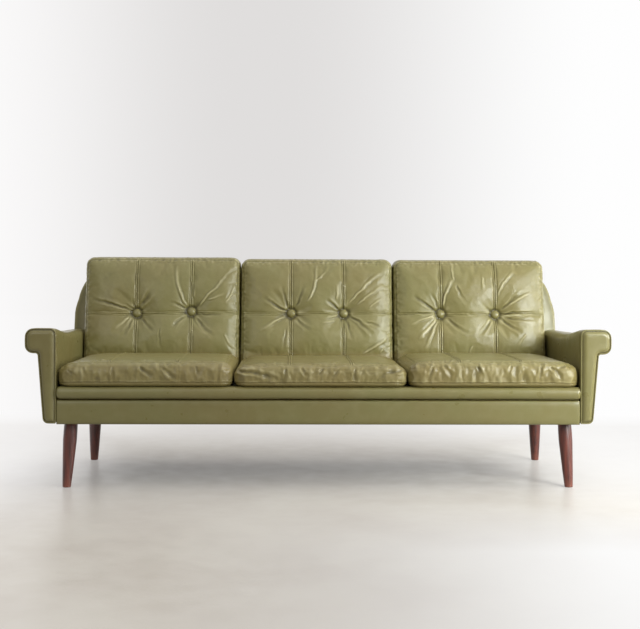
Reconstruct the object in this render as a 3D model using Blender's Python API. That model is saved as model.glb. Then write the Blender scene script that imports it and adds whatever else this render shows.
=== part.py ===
"""A three-seat leather sofa on four turned legs, built the way an upholsterer's workshop builds one.

A beech seat frame carries rubber webbing, a padded deck and a leather front lip. A leaning back frame
of posts and a top rail stands on its rear rail. Two boards inside leather arms are fixed to its sides.
Six loose cushions fill it, and the three at the back are drawn in by two buttons each.
Metres, +X to the sitter's left as seen from the front, +Y to the back, +Z up, floor at Z = 0.
"""

import math

import bmesh
import bpy
from mathutils import Vector

# The whole sofa
OVERALL_DEPTH = 0.800
LEG_HEIGHT = 0.2245
TOUCH_GAP = 0.0003

# Timber frame
RAIL_THICKNESS = 0.028
RAIL_HEIGHT = 0.0835
CROSS_RAIL_HEIGHT = 0.060
CORNER_BLOCK_SIZE = 0.080
CORNER_BLOCK_HEIGHT = 0.050
POST_WIDTH = 0.030
POST_DEPTH = 0.040
TOP_RAIL_HEIGHT = 0.045
OUTER_POST_INSET = 0.195

# Webbing
STRAP_WIDTH = 0.050
STRAP_THICKNESS = 0.002
STRAP_END_MARGIN = 0.008

# Seat deck, front lip, rail cover and dust cover
DECK_DROP = 0.0005
LIP_DEPTH = 0.070
LIP_HEIGHT = 0.0434
LIP_ROUND = 0.0185
LIP_END_ROUND = 0.006
RAIL_COVER_THICKNESS = 0.012
RAIL_COVER_DROP = 0.0028
RAIL_COVER_ROUND = 0.006
RAIL_COVER_SETBACK = 0.002
DUST_COVER_THICKNESS = 0.0012
DUST_COVER_RISE = 0.0005

# Arms: the outline of the front end, measured from the arm's inner face
FACING_SETBACK = 0.012
FACING_THICKNESS = 0.010
FACING_ROUND = 0.005
ARM_RISE = 0.003
ARM_HEIGHT = 0.3325
ARM_TOP_DIP = 0.024
ARM_TOP_FALL = 0.018
SCROLL_WIDTH = 0.1095
SCROLL_WIDTH_BACK = 0.080
SCROLL_HEIGHT = 0.088
ARM_THICKNESS_TOP = 0.065
ARM_THICKNESS_BOTTOM = 0.0455
ARM_THICKNESS_BACK = 0.046
ARM_INNER_ROUND = 0.022
SCROLL_TOP_ROUND = 0.030
SCROLL_UNDER_ROUND = 0.028
SCROLL_NECK_ROUND = 0.008
ARM_FOOT_ROUND = 0.020
ARM_BOARD_THICKNESS = 0.022
ARM_BOARD_INSET = 0.012
ARM_BOARD_MARGIN = 0.025
ARM_BOARD_RISE = 0.004
ARM_BOARD_TOP_DROP = 0.075

# Back: a leaning tray of padding round the posts, closed by a flat outside panel
LEAN_DEGREES = 11.0
BACK_HEIGHT = 0.5405
BACK_OVERHANG = 0.057
BACK_SHOULDER_ROUND = 0.185
BACK_PAD_THICKNESS = 0.018
BACK_BORDER_THICKNESS = 0.014
BACK_EDGE_ROUND = 0.014
OUTSIDE_PANEL_THICKNESS = 0.006
OUTSIDE_PANEL_INSET = 0.003
OUTSIDE_PANEL_ROUND = 0.002

# Loose cushions
CUSHION_GAP = 0.004
SEAT_CUSHION_WIDTHS = (0.616, 0.612, 0.607)
SEAT_CUSHION_HEIGHTS = (0.083, 0.075, 0.086)
BACK_CUSHION_TRIMS = (0.0, 0.006, 0.001)
BACK_CUSHION_HEIGHTS = (0.4505, 0.4450, 0.4435)
SEAT_CUSHION_SETBACK = 0.004
SEAT_CUSHION_CROWN = 0.007
SEAT_CUSHION_BULGE = 0.004
SEAT_CUSHION_CORNER = 0.045
SEAT_CUSHION_EDGE = 0.020
BACK_CUSHION_THICKNESS = 0.125
BACK_CUSHION_CROWN = 0.024
BACK_CUSHION_CORNER = 0.034
BACK_CUSHION_EDGE = 0.030
TUFT_DEPTH = 0.024
TUFT_REACH = 0.045
SEAM_VALLEY = 0.004
SEAM_REACH = 0.016

# Buttons: on each back cushion, across from its middle and up from its foot
BUTTON_PLACES = (
    ((-0.098, 0.230), (0.116, 0.2365)),
    ((-0.102, 0.2305), (0.105, 0.2305)),
    ((-0.117, 0.230), (0.0995, 0.228)),
)
BUTTON_RADIUS = 0.0175
BUTTON_HEIGHT = 0.012
BUTTON_SINK = 0.003
BUTTON_CLEARANCE = 0.001

# Legs and the studs that hold them
LEG_TOP_RADIUS = 0.0232
LEG_WIDEST_RADIUS = 0.0243
LEG_FOOT_RADIUS = 0.0148
LEG_WIDEST_SHARE = 0.72
LEG_FOOT_EASING = 0.0015
LEG_FROM_SIDE_RAIL_FRONT = 0.0114
LEG_FROM_SIDE_RAIL_BACK = 0.0164
LEG_FROM_FRONT_RAIL = 0.0327
LEG_FROM_BACK_RAIL = 0.0200
LEG_SPLAY_SIDE = 0.009
LEG_SPLAY_LENGTHWISE = 0.033
STUD_RADIUS = 0.004
STUD_REACH_DOWN = 0.025
STUD_REACH_UP = 0.035

# Places that follow from the sizes
BODY_BOTTOM = LEG_HEIGHT
TIMBER_BOTTOM = BODY_BOTTOM + DUST_COVER_RISE + DUST_COVER_THICKNESS + TOUCH_GAP
ARM_BOTTOM = BODY_BOTTOM + ARM_RISE
ARM_TOP_FRONT = ARM_BOTTOM + ARM_HEIGHT
INNER_HALF = sum(SEAT_CUSHION_WIDTHS) / 2
FITTED_HALF = INNER_HALF - TOUCH_GAP
FRONT_Y = -OVERALL_DEPTH / 2
FACING_FRONT_Y = FRONT_Y + FACING_SETBACK
ARM_FRONT_Y = FACING_FRONT_Y + FACING_THICKNESS + TOUCH_GAP
RAIL_COVER_FRONT_Y = FACING_FRONT_Y + RAIL_COVER_SETBACK
FRONT_RAIL_Y = RAIL_COVER_FRONT_Y + RAIL_COVER_THICKNESS + TOUCH_GAP
RAIL_TOP = TIMBER_BOTTOM + RAIL_HEIGHT
STRAP_BOTTOM = RAIL_TOP + TOUCH_GAP
DECK_BOTTOM = STRAP_BOTTOM + STRAP_THICKNESS + TOUCH_GAP
LIP_TOP = DECK_BOTTOM + LIP_HEIGHT
DECK_TOP = LIP_TOP - DECK_DROP
CUSHION_FLOOR = LIP_TOP + TOUCH_GAP
LEAN = math.tan(math.radians(LEAN_DEGREES))
BACK_TOP = ARM_BOTTOM + BACK_HEIGHT
BACK_HALF_WIDTH = INNER_HALF + BACK_OVERHANG
BACK_THICKNESS = BACK_PAD_THICKNESS + POST_DEPTH + OUTSIDE_PANEL_THICKNESS + 2 * TOUCH_GAP
BACK_WIDEST_LEVEL = BACK_TOP - OUTSIDE_PANEL_INSET - OUTSIDE_PANEL_ROUND
ARC_STEPS = 4
SHOULDER_STEPS = 8
RIM_STEPS = 3

SIDES = {"left": -1, "right": 1}
CUSHION_NAMES = ("left", "middle", "right")


def clear_scene():
    """Removes what the startup scene holds."""
    for old in list(bpy.data.objects):
        bpy.data.objects.remove(old)


def make_material(name, hex_colour, roughness, metallic=0.0):
    """A Principled material of one sRGB colour."""
    channels = [int(hex_colour[i : i + 2], 16) / 255 for i in (0, 2, 4)]
    linear = [((c + 0.055) / 1.055) ** 2.4 if c > 0.04045 else c / 12.92 for c in channels]
    material = bpy.data.materials.new(name)
    material.use_nodes = True
    shader = material.node_tree.nodes["Principled BSDF"]
    shader.inputs["Base Color"].default_value = (*linear, 1)
    shader.inputs["Roughness"].default_value = roughness
    shader.inputs["Metallic"].default_value = metallic
    material.diffuse_color = (*linear, 1)
    return material


clear_scene()
LEATHER = make_material("olive_leather", "8A8455", 0.38)
BUTTON_LEATHER = make_material("button_leather", "857C45", 0.32)
BEECH = make_material("beech_timber", "C7A277", 0.60)
LEG_WOOD = make_material("stained_leg_wood", "5B3229", 0.40)
RUBBER = make_material("rubber_webbing", "3A332B", 0.75)
CANVAS = make_material("deck_canvas", "6E6A4A", 0.90)
CAMBRIC = make_material("dust_cambric", "1F1E1C", 0.95)
STEEL = make_material("zinc_steel", "A9ABAD", 0.35, 1.0)
SOFA = bpy.data.objects.new("sofa", None)
bpy.context.scene.collection.objects.link(SOFA)


def add_solid(name, points, faces, material, origin=(0, 0, 0), smooth_degrees=40):
    """Makes an object whose mesh is closed and faces outwards, placed at its own origin."""
    start = Vector(origin)
    mesh = bpy.data.meshes.new(name)
    mesh.from_pydata([Vector(point) - start for point in points], [], faces)
    shape = bmesh.new()
    shape.from_mesh(mesh)
    bmesh.ops.recalc_face_normals(shape, faces=shape.faces)
    shape.to_mesh(mesh)
    shape.free()
    mesh.materials.append(material)
    mesh.shade_smooth()
    mesh.set_sharp_from_angle(angle=math.radians(smooth_degrees))
    obj = bpy.data.objects.new(name, mesh)
    bpy.context.scene.collection.objects.link(obj)
    obj.location = start
    obj.parent = SOFA
    return obj


def cut_away(obj, cutter):
    """Subtracts a helper shape, which isn't a piece of the sofa."""
    cutter.hide_render = True
    cutter.display_type = "WIRE"
    boolean = obj.modifiers.new("cut_" + cutter.name, "BOOLEAN")
    boolean.operation = "DIFFERENCE"
    boolean.object = cutter


def skin_rings(rings):
    """Points and faces of a tube through rings of equal count, with a face over each end."""
    count = len(rings[0])
    points = [point for ring in rings for point in ring]
    faces = [tuple(reversed(range(count)))]
    for level in range(len(rings) - 1):
        low = level * count
        for i in range(count):
            j = (i + 1) % count
            faces.append((low + i, low + j, low + count + j, low + count + i))
    faces.append(tuple(range(len(points) - count, len(points))))
    return points, faces


def corner_reaches(corners):
    """How far each corner's arc runs along its sides, held to the length that the sides have."""
    count = len(corners)
    spots = [Vector(corner[:2]) for corner in corners]
    wanted = []
    for i, (_, _, radius) in enumerate(corners):
        turn = (spots[i - 1] - spots[i]).angle(spots[(i + 1) % count] - spots[i])
        wanted.append(radius / math.tan(turn / 2))
    limits = []
    for i in range(count):
        beside = [(i - 1, (spots[i - 1] - spots[i]).length)]
        beside.append(((i + 1) % count, (spots[(i + 1) % count] - spots[i]).length))
        limits.append(min(0.98 * side / (wanted[i] + wanted[j]) for j, side in beside))
    return [reach * min(1, limit) for reach, limit in zip(wanted, limits)]


def rounded_outline(corners, steps=ARC_STEPS):
    """Points of an outline whose corners (a, b, radius) are arcs."""
    outline = []
    for i, reach in enumerate(corner_reaches(corners)):
        here = Vector(corners[i][:2])
        back = (Vector(corners[i - 1][:2]) - here).normalized()
        ahead = (Vector(corners[(i + 1) % len(corners)][:2]) - here).normalized()
        half_angle = back.angle(ahead) / 2
        radius = reach * math.tan(half_angle)
        centre = here + (back + ahead).normalized() * (radius / math.sin(half_angle))
        first = here + back * reach - centre
        last = here + ahead * reach - centre
        start = math.atan2(first.y, first.x)
        sweep = (math.atan2(last.y, last.x) - start + math.pi) % (2 * math.pi) - math.pi
        for k in range(steps + 1):
            angle = start + sweep * k / steps
            outline.append(centre + Vector((math.cos(angle), math.sin(angle))) * radius)
    return outline


def inset_corners(corners, inset, least_radius=0.0015):
    """Moves each side of an outline inwards, and its corner arcs with it."""
    count = len(corners)
    area = sum(
        corners[i - 1][0] * corners[i][1] - corners[i][0] * corners[i - 1][1] for i in range(count)
    )
    turn = 1 if area > 0 else -1
    moved = []
    for i, (a, b, radius) in enumerate(corners):
        here = Vector((a, b))
        before = (here - Vector(corners[i - 1][:2])).normalized()
        after = (Vector(corners[(i + 1) % count][:2]) - here).normalized()
        inward_before = Vector((-before.y, before.x)) * turn
        inward_after = Vector((-after.y, after.x)) * turn
        shift = (inward_before + inward_after) * (inset / (1 + inward_before.dot(inward_after)))
        convex = before.cross(after) * turn > 0
        eased = radius - inset if convex else radius + inset
        moved.append((a + shift.x, b + shift.y, max(eased, least_radius)))
    return moved


def rim_levels(low, high, low_round, high_round, steps=RIM_STEPS):
    """Pairs (level, inset) that carry a slab from one face to the other over rounded rims."""
    levels = []
    for rim, start, sign in ((low_round, low, 1), (high_round, high, -1)):
        side = []
        for k in range(steps + 1 if rim > 0 else 1):
            angle = math.pi / 2 * k / steps
            side.append((start + sign * rim * (1 - math.cos(angle)), rim * (1 - math.sin(angle))))
        levels += side if sign > 0 else reversed(side)
    return levels


def slab_rings(corners, low, high, low_round=0.0, high_round=0.0, steps=RIM_STEPS, arc=ARC_STEPS):
    """Rings of (a, b, level) through a slab with this outline."""
    return [
        [(p.x, p.y, level) for p in rounded_outline(inset_corners(corners, inset), arc)]
        for level, inset in rim_levels(low, high, low_round, high_round, steps)
    ]


def add_box(name, low, high, material, place=lambda x, y, z: (x, y, z)):
    """A squared timber or strap between two corners, each corner put through place."""
    rings = [
        [(x, y, z) for x, y in ((low[0], low[1]), (high[0], low[1]), (high[0], high[1]), (low[0], high[1]))]
        for z in (low[2], high[2])
    ]
    points, faces = skin_rings([[place(*p) for p in ring] for ring in rings])
    return add_solid(name, points, faces, material, points[0])


def back_plane(z):
    """Y of the inside back's front face at height z."""
    return OVERALL_DEPTH / 2 - BACK_THICKNESS - (BACK_WIDEST_LEVEL - z) * LEAN


def leaning(x, depth, z):
    """A point so far behind the inside back's front face, at its height."""
    return (x, back_plane(z) + depth, z)


def cushion_bays(widths):
    """Low and high X of three cushions laid side by side from the left arm."""
    edge = -INNER_HALF
    bays = []
    for width in widths:
        bays.append((edge + CUSHION_GAP / 2, edge + width - CUSHION_GAP / 2))
        edge += width
    return bays


def cushion_joints():
    """X of the two joints between the seat cushions, where timber stands beneath and behind."""
    bays = cushion_bays(SEAT_CUSHION_WIDTHS)
    return [(bays[i][1] + bays[i + 1][0]) / 2 for i in range(2)]


def strap_places():
    """X of the middle of each strap: two in each bay between the back's posts."""
    outer = BACK_HALF_WIDTH - OUTER_POST_INSET - POST_WIDTH
    edges = [-outer]
    for joint in cushion_joints():
        edges += [joint - POST_WIDTH / 2, joint + POST_WIDTH / 2]
    edges.append(outer)
    bays = list(zip(edges[::2], edges[1::2]))
    return [low + (high - low) * share / 3 for low, high in bays for share in (1, 2)]


BACK_RAIL_Y = back_plane(TIMBER_BOTTOM) + BACK_PAD_THICKNESS - RAIL_THICKNESS
BLOCK_OUTER_X = FITTED_HALF - RAIL_THICKNESS - TOUCH_GAP
BLOCK_FRONT_Y = FRONT_RAIL_Y + RAIL_THICKNESS + TOUCH_GAP


def leg_tops():
    """Name, X, Y and splay directions of the four legs where they meet the body."""
    ends = {
        "front": (LEG_FROM_SIDE_RAIL_FRONT, BLOCK_FRONT_Y + LEG_FROM_FRONT_RAIL, -1),
        "back": (LEG_FROM_SIDE_RAIL_BACK, BACK_RAIL_Y - LEG_FROM_BACK_RAIL, 1),
    }
    return [
        (f"{end}_{name}", sign * (BLOCK_OUTER_X - inset), y, sign, outward)
        for end, (inset, y, outward) in ends.items()
        for name, sign in SIDES.items()
    ]


def leg_axis(x, y, sign, outward, z):
    """Centre of a splayed leg at height z."""
    down = (BODY_BOTTOM - z) / BODY_BOTTOM
    return Vector((x + sign * LEG_SPLAY_SIDE * down, y + outward * LEG_SPLAY_LENGTHWISE * down, z))


def leg_radius(share):
    """The turned profile: a small foot, a swelling below the top, and a slight waist above it."""
    if share < LEG_WIDEST_SHARE:
        rise = 1 - (1 - share / LEG_WIDEST_SHARE) ** 1.7
        return LEG_FOOT_RADIUS + (LEG_WIDEST_RADIUS - LEG_FOOT_RADIUS) * rise
    fall = ((share - LEG_WIDEST_SHARE) / (1 - LEG_WIDEST_SHARE)) ** 2
    return LEG_WIDEST_RADIUS - (LEG_WIDEST_RADIUS - LEG_TOP_RADIUS) * fall


def turned_rings(leg, profile, sides=16):
    """Level circles (z, radius) strung along a leg's axis."""
    rings = []
    for z, radius in profile:
        centre = leg_axis(*leg, z)
        turns = [2 * math.pi * k / sides for k in range(sides)]
        rings.append([centre + Vector((math.cos(t), math.sin(t), 0)) * radius for t in turns])
    return rings


def build_seat_frame():
    """Four rails, two cross rails and four corner blocks."""
    add_box(
        "front_rail",
        (-FITTED_HALF, FRONT_RAIL_Y, TIMBER_BOTTOM),
        (FITTED_HALF, FRONT_RAIL_Y + RAIL_THICKNESS, RAIL_TOP),
        BEECH,
    )
    rear_face = BACK_PAD_THICKNESS
    rail_ends = [
        (BACK_RAIL_Y, TIMBER_BOTTOM),
        (leaning(0, rear_face, TIMBER_BOTTOM)[1], TIMBER_BOTTOM),
        (leaning(0, rear_face, RAIL_TOP)[1], RAIL_TOP),
        (BACK_RAIL_Y, RAIL_TOP),
    ]
    points, faces = skin_rings([[(x, y, z) for y, z in rail_ends] for x in (-FITTED_HALF, FITTED_HALF)])
    add_solid("back_rail", points, faces, BEECH, points[0])
    start = BLOCK_FRONT_Y
    end = BACK_RAIL_Y - TOUCH_GAP
    for (name, sign), x in zip(SIDES.items(), cushion_joints()):
        faces_x = sorted((sign * FITTED_HALF, sign * (FITTED_HALF - RAIL_THICKNESS)))
        add_box(f"side_rail_{name}", (faces_x[0], start, TIMBER_BOTTOM), (faces_x[1], end, RAIL_TOP), BEECH)
        add_box(
            f"cross_rail_{name}",
            (x - RAIL_THICKNESS / 2, start, TIMBER_BOTTOM),
            (x + RAIL_THICKNESS / 2, end, TIMBER_BOTTOM + CROSS_RAIL_HEIGHT),
            BEECH,
        )
    for name, _, _, sign, outward in leg_tops():
        xs = sorted((sign * BLOCK_OUTER_X, sign * (BLOCK_OUTER_X - CORNER_BLOCK_SIZE)))
        y = start if outward < 0 else end - CORNER_BLOCK_SIZE
        add_box(
            f"corner_block_{name}",
            (xs[0], y, TIMBER_BOTTOM),
            (xs[1], y + CORNER_BLOCK_SIZE, TIMBER_BOTTOM + CORNER_BLOCK_HEIGHT),
            BEECH,
        )


def build_back_frame():
    """Four leaning posts and the rail on top of them, all behind the inside back's padding."""
    near = BACK_PAD_THICKNESS + TOUCH_GAP
    far = near + POST_DEPTH
    rail_high = BACK_TOP - BACK_BORDER_THICKNESS - TOUCH_GAP
    rail_low = rail_high - TOP_RAIL_HEIGHT
    outer = BACK_HALF_WIDTH - OUTER_POST_INSET
    joints = cushion_joints()
    posts = {
        "back_post_outer_left": -outer,
        "back_post_inner_left": joints[0] - POST_WIDTH / 2,
        "back_post_inner_right": joints[1] - POST_WIDTH / 2,
        "back_post_outer_right": outer - POST_WIDTH,
    }
    for name, x in posts.items():
        high = (x + POST_WIDTH, far, rail_low - TOUCH_GAP)
        add_box(name, (x, near, TIMBER_BOTTOM), high, BEECH, leaning)
    strap_room = STRAP_THICKNESS + TOUCH_GAP
    add_box("back_top_rail", (-outer, near + strap_room, rail_low), (outer, far, rail_high), BEECH, leaning)


def build_webbing():
    """Straps from the front rail to the back rail, and from the back rail to the top rail."""
    near = BACK_PAD_THICKNESS + TOUCH_GAP
    high = BACK_TOP - BACK_BORDER_THICKNESS - TOUCH_GAP - STRAP_END_MARGIN
    start = FRONT_RAIL_Y + STRAP_END_MARGIN
    end = BACK_RAIL_Y + RAIL_THICKNESS
    for number, x in enumerate(strap_places(), 1):
        low_x = x - STRAP_WIDTH / 2
        high_x = x + STRAP_WIDTH / 2
        add_box(
            f"seat_strap_{number}",
            (low_x, start, STRAP_BOTTOM),
            (high_x, end, STRAP_BOTTOM + STRAP_THICKNESS),
            RUBBER,
        )
        add_box(
            f"back_strap_{number}",
            (low_x, near, TIMBER_BOTTOM + STRAP_END_MARGIN),
            (high_x, near + STRAP_THICKNESS, high),
            RUBBER,
            leaning,
        )


def build_seat_covers():
    """The padded deck, the rolled front lip over the rail, the leather on the rail, the dust cover."""
    lip_back = FRONT_Y + LIP_DEPTH
    sharp = 0.002
    lip_corners = [
        (FRONT_Y, DECK_BOTTOM, LIP_ROUND),
        (lip_back, DECK_BOTTOM, sharp),
        (lip_back, LIP_TOP, sharp),
        (FRONT_Y, LIP_TOP, LIP_ROUND),
    ]
    rings = slab_rings(lip_corners, -FITTED_HALF, FITTED_HALF, LIP_END_ROUND, LIP_END_ROUND)
    points, faces = skin_rings([[(x, y, z) for y, z, x in ring] for ring in rings])
    add_solid("front_lip", points, faces, LEATHER, (0, FRONT_Y, DECK_BOTTOM))

    deck_front = lip_back + TOUCH_GAP
    deck_ends = [
        (deck_front, DECK_BOTTOM),
        (back_plane(DECK_BOTTOM) - TOUCH_GAP, DECK_BOTTOM),
        (back_plane(DECK_TOP) - TOUCH_GAP, DECK_TOP),
        (deck_front, DECK_TOP),
    ]
    points, faces = skin_rings([[(x, y, z) for y, z in deck_ends] for x in (-FITTED_HALF, FITTED_HALF)])
    add_solid("seat_deck", points, faces, CANVAS, points[0])

    cover_top = DECK_BOTTOM - RAIL_COVER_DROP
    cover_corners = [
        (-FITTED_HALF, BODY_BOTTOM, RAIL_COVER_ROUND),
        (FITTED_HALF, BODY_BOTTOM, RAIL_COVER_ROUND),
        (FITTED_HALF, cover_top, RAIL_COVER_ROUND),
        (-FITTED_HALF, cover_top, RAIL_COVER_ROUND),
    ]
    cover_back = RAIL_COVER_FRONT_Y + RAIL_COVER_THICKNESS
    rings = slab_rings(cover_corners, RAIL_COVER_FRONT_Y, cover_back, RAIL_COVER_ROUND, 0, arc=3)
    points, faces = skin_rings([[(x, y, z) for x, z, y in ring] for ring in rings])
    add_solid("rail_cover", points, faces, LEATHER, (0, RAIL_COVER_FRONT_Y, BODY_BOTTOM))

    sheet_top = TIMBER_BOTTOM - TOUCH_GAP
    sheet_back = back_plane(TIMBER_BOTTOM) + BACK_PAD_THICKNESS + POST_DEPTH
    return add_box(
        "dust_cover",
        (-FITTED_HALF, cover_back + TOUCH_GAP, sheet_top - DUST_COVER_THICKNESS),
        (FITTED_HALF, sheet_back, sheet_top),
        CAMBRIC,
    )


def arm_height(share):
    """Top of the arm: high at the front end, a dip behind it, then a slow fall to the back."""
    eased = min(share / 0.45, 1.0)
    dip = eased * eased * (3 - 2 * eased)
    return ARM_TOP_FRONT - ARM_TOP_DIP * dip - ARM_TOP_FALL * share


def arm_corners(share):
    """Outline of the arm so far along it: outwards from the inner face, and up."""
    top = arm_height(share)
    scroll = SCROLL_WIDTH + (SCROLL_WIDTH_BACK - SCROLL_WIDTH) * share
    neck = top - SCROLL_HEIGHT * (1 - 0.25 * share)
    thick_top = ARM_THICKNESS_TOP + (ARM_THICKNESS_BACK - ARM_THICKNESS_TOP) * share
    thick_bottom = ARM_THICKNESS_BOTTOM + (ARM_THICKNESS_BACK - ARM_THICKNESS_BOTTOM) * share
    return [
        (0, ARM_BOTTOM, 0.004),
        (thick_bottom, ARM_BOTTOM, ARM_FOOT_ROUND * (1 - 0.7 * share)),
        (thick_top, neck, SCROLL_NECK_ROUND),
        (scroll, neck, SCROLL_UNDER_ROUND * (1 - 0.35 * share)),
        (scroll, top, SCROLL_TOP_ROUND),
        (0, top, ARM_INNER_ROUND),
    ]


def arm_back(z):
    """Y where an arm ends, against the inside back."""
    return back_plane(z) - TOUCH_GAP


def build_arm(name, sign):
    """A board in a padded leather arm, with a separate padded facing on its front end."""
    shares = [0, 0.02, 0.10, 0.20, 0.32, 0.45, 0.70, 1.0]
    insets = [FACING_ROUND * 0.6] + [0] * (len(shares) - 1)
    rings = []
    for share, inset in zip(shares, insets):
        ring = []
        for p in rounded_outline(inset_corners(arm_corners(share), inset)):
            y = ARM_FRONT_Y + share * (arm_back(p.y) - ARM_FRONT_Y)
            ring.append((sign * (INNER_HALF + p.x), y, p.y))
        rings.append(ring)
    points, faces = skin_rings(rings)
    cover = add_solid(f"arm_{name}", points, faces, LEATHER, (sign * INNER_HALF, ARM_FRONT_Y, ARM_BOTTOM))

    rings = slab_rings(arm_corners(0), FACING_FRONT_Y, FACING_FRONT_Y + FACING_THICKNESS, FACING_ROUND, 0.002)
    points, faces = skin_rings([[(sign * (INNER_HALF + u), y, z) for u, z, y in ring] for ring in rings])
    add_solid(f"arm_facing_{name}", points, faces, LEATHER, (sign * INNER_HALF, FACING_FRONT_Y, ARM_BOTTOM))

    board_x = sorted(sign * (INNER_HALF + ARM_BOARD_INSET + edge) for edge in (0, ARM_BOARD_THICKNESS))
    low = ARM_BOTTOM + ARM_BOARD_RISE
    high = arm_height(1) - ARM_BOARD_TOP_DROP
    front = ARM_FRONT_Y + ARM_BOARD_MARGIN

    def board_side(x, grow, bottom):
        """The board's outline in the side view, grown all round by a clearance."""
        top = high + grow
        return [
            (x, front - grow, bottom),
            (x, arm_back(bottom) - ARM_BOARD_MARGIN + grow, bottom),
            (x, arm_back(top) - ARM_BOARD_MARGIN + grow, top),
            (x, front - grow, top),
        ]

    points, faces = skin_rings([board_side(x, 0, low) for x in board_x])
    add_solid(f"arm_board_{name}", points, faces, BEECH, points[0])
    slot_x = (board_x[0] - TOUCH_GAP, board_x[1] + TOUCH_GAP)
    points, faces = skin_rings([board_side(x, TOUCH_GAP, ARM_BOTTOM - 0.01) for x in slot_x])
    cut_away(cover, add_solid(f"cutter_board_{name}", points, faces, BEECH))


def back_corners():
    """Outline of the back as seen from the front: upright sides that round over into a level top."""
    half = [(BACK_HALF_WIDTH, ARM_BOTTOM, 0.004), (BACK_HALF_WIDTH, BACK_TOP, BACK_SHOULDER_ROUND)]
    return half + [(-x, z, radius) for x, z, radius in reversed(half)]


def build_back_covers():
    """The inside back, a padded tray over the posts, and the panel that closes it behind."""
    tray_back = BACK_THICKNESS - OUTSIDE_PANEL_THICKNESS - TOUCH_GAP
    rings = slab_rings(back_corners(), 0, tray_back, BACK_EDGE_ROUND, 0.003, arc=SHOULDER_STEPS)
    points, faces = skin_rings([[leaning(x, y, z) for x, z, y in ring] for ring in rings])
    tray = add_solid("inside_back", points, faces, LEATHER, (0, back_plane(ARM_BOTTOM), ARM_BOTTOM))

    beyond = 0.05
    hollow = [
        (x, z if z > ARM_BOTTOM + beyond else ARM_BOTTOM - beyond, radius)
        for x, z, radius in inset_corners(back_corners(), BACK_BORDER_THICKNESS)
    ]
    rings = slab_rings(hollow, BACK_PAD_THICKNESS, tray_back + beyond, arc=SHOULDER_STEPS)
    points, faces = skin_rings([[leaning(x, y, z) for x, z, y in ring] for ring in rings])
    cut_away(tray, add_solid("cutter_tray", points, faces, LEATHER))
    seat_notch = add_box(
        "cutter_seat",
        (-INNER_HALF, -beyond, ARM_BOTTOM - beyond),
        (INNER_HALF, tray_back, DECK_BOTTOM - TOUCH_GAP / 2),
        LEATHER,
        leaning,
    )
    cut_away(tray, seat_notch)

    panel_back = tray_back + TOUCH_GAP + OUTSIDE_PANEL_THICKNESS
    panel = inset_corners(back_corners(), OUTSIDE_PANEL_INSET)
    rings = slab_rings(
        panel, tray_back + TOUCH_GAP, panel_back, 0, OUTSIDE_PANEL_ROUND, arc=SHOULDER_STEPS
    )
    points, faces = skin_rings([[leaning(x, y, z) for x, z, y in ring] for ring in rings])
    add_solid("outside_back", points, faces, LEATHER, (0, back_plane(ARM_BOTTOM), ARM_BOTTOM))


def axis_lines(half, radius, inner, steps=2):
    """Grid lines across one axis of a rounded box: even angles in the rounded ends, inner between."""
    core = half - radius
    ends = [core + radius * math.tan(math.pi / 4 * k / steps) for k in range(steps + 1)]
    middle = [line for line in inner if abs(line) < core - 0.004]
    return [-line for line in reversed(ends)] + middle + ends


def rounded_box(sizes, radii, inner_lines, puff):
    """Points and faces of a box with rounded edges, its surface a grid moved by puff(point)."""
    halves = [size / 2 for size in sizes]
    lines = [axis_lines(*values) for values in zip(halves, radii, inner_lines)]
    last = [len(axis) - 1 for axis in lines]
    index = {}
    points = []

    def corner(i, j, k):
        if (i, j, k) not in index:
            raw = [lines[axis][step] for axis, step in enumerate((i, j, k))]
            core = [max(-h + r, min(h - r, value)) for value, h, r in zip(raw, halves, radii)]
            out = Vector([(value - c) / r for value, c, r in zip(raw, core, radii)])
            length = out.length or 1.0
            point = [c + r * o / length for c, r, o in zip(core, radii, out)]
            index[(i, j, k)] = len(points)
            points.append(puff(Vector(point)))
        return index[(i, j, k)]

    faces = []
    for axis in range(3):
        across = [other for other in range(3) if other != axis]
        for end in (0, last[axis]):
            for a in range(last[across[0]]):
                for b in range(last[across[1]]):
                    face = []
                    for da, db in ((0, 0), (1, 0), (1, 1), (0, 1)):
                        step = [0, 0, 0]
                        step[axis] = end
                        step[across[0]] = a + da
                        step[across[1]] = b + db
                        face.append(corner(*step))
                    faces.append(face)
    return points, faces


def seat_cushion_rear():
    """Y of the foremost part of the back cushions' faces, up to the seat cushions' tops."""
    steps = 12
    reach = max(SEAT_CUSHION_HEIGHTS) + SEAT_CUSHION_CROWN
    fronts = []
    for height in BACK_CUSHION_HEIGHTS:
        for k in range(steps + 1):
            up = reach * k / steps
            crown = BACK_CUSHION_CROWN * (1 - abs(2 * up / height - 1) ** 3)
            fronts.append(back_plane(CUSHION_FLOOR + up) - BACK_CUSHION_THICKNESS - crown)
    return min(fronts) - 2 * TOUCH_GAP


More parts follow.
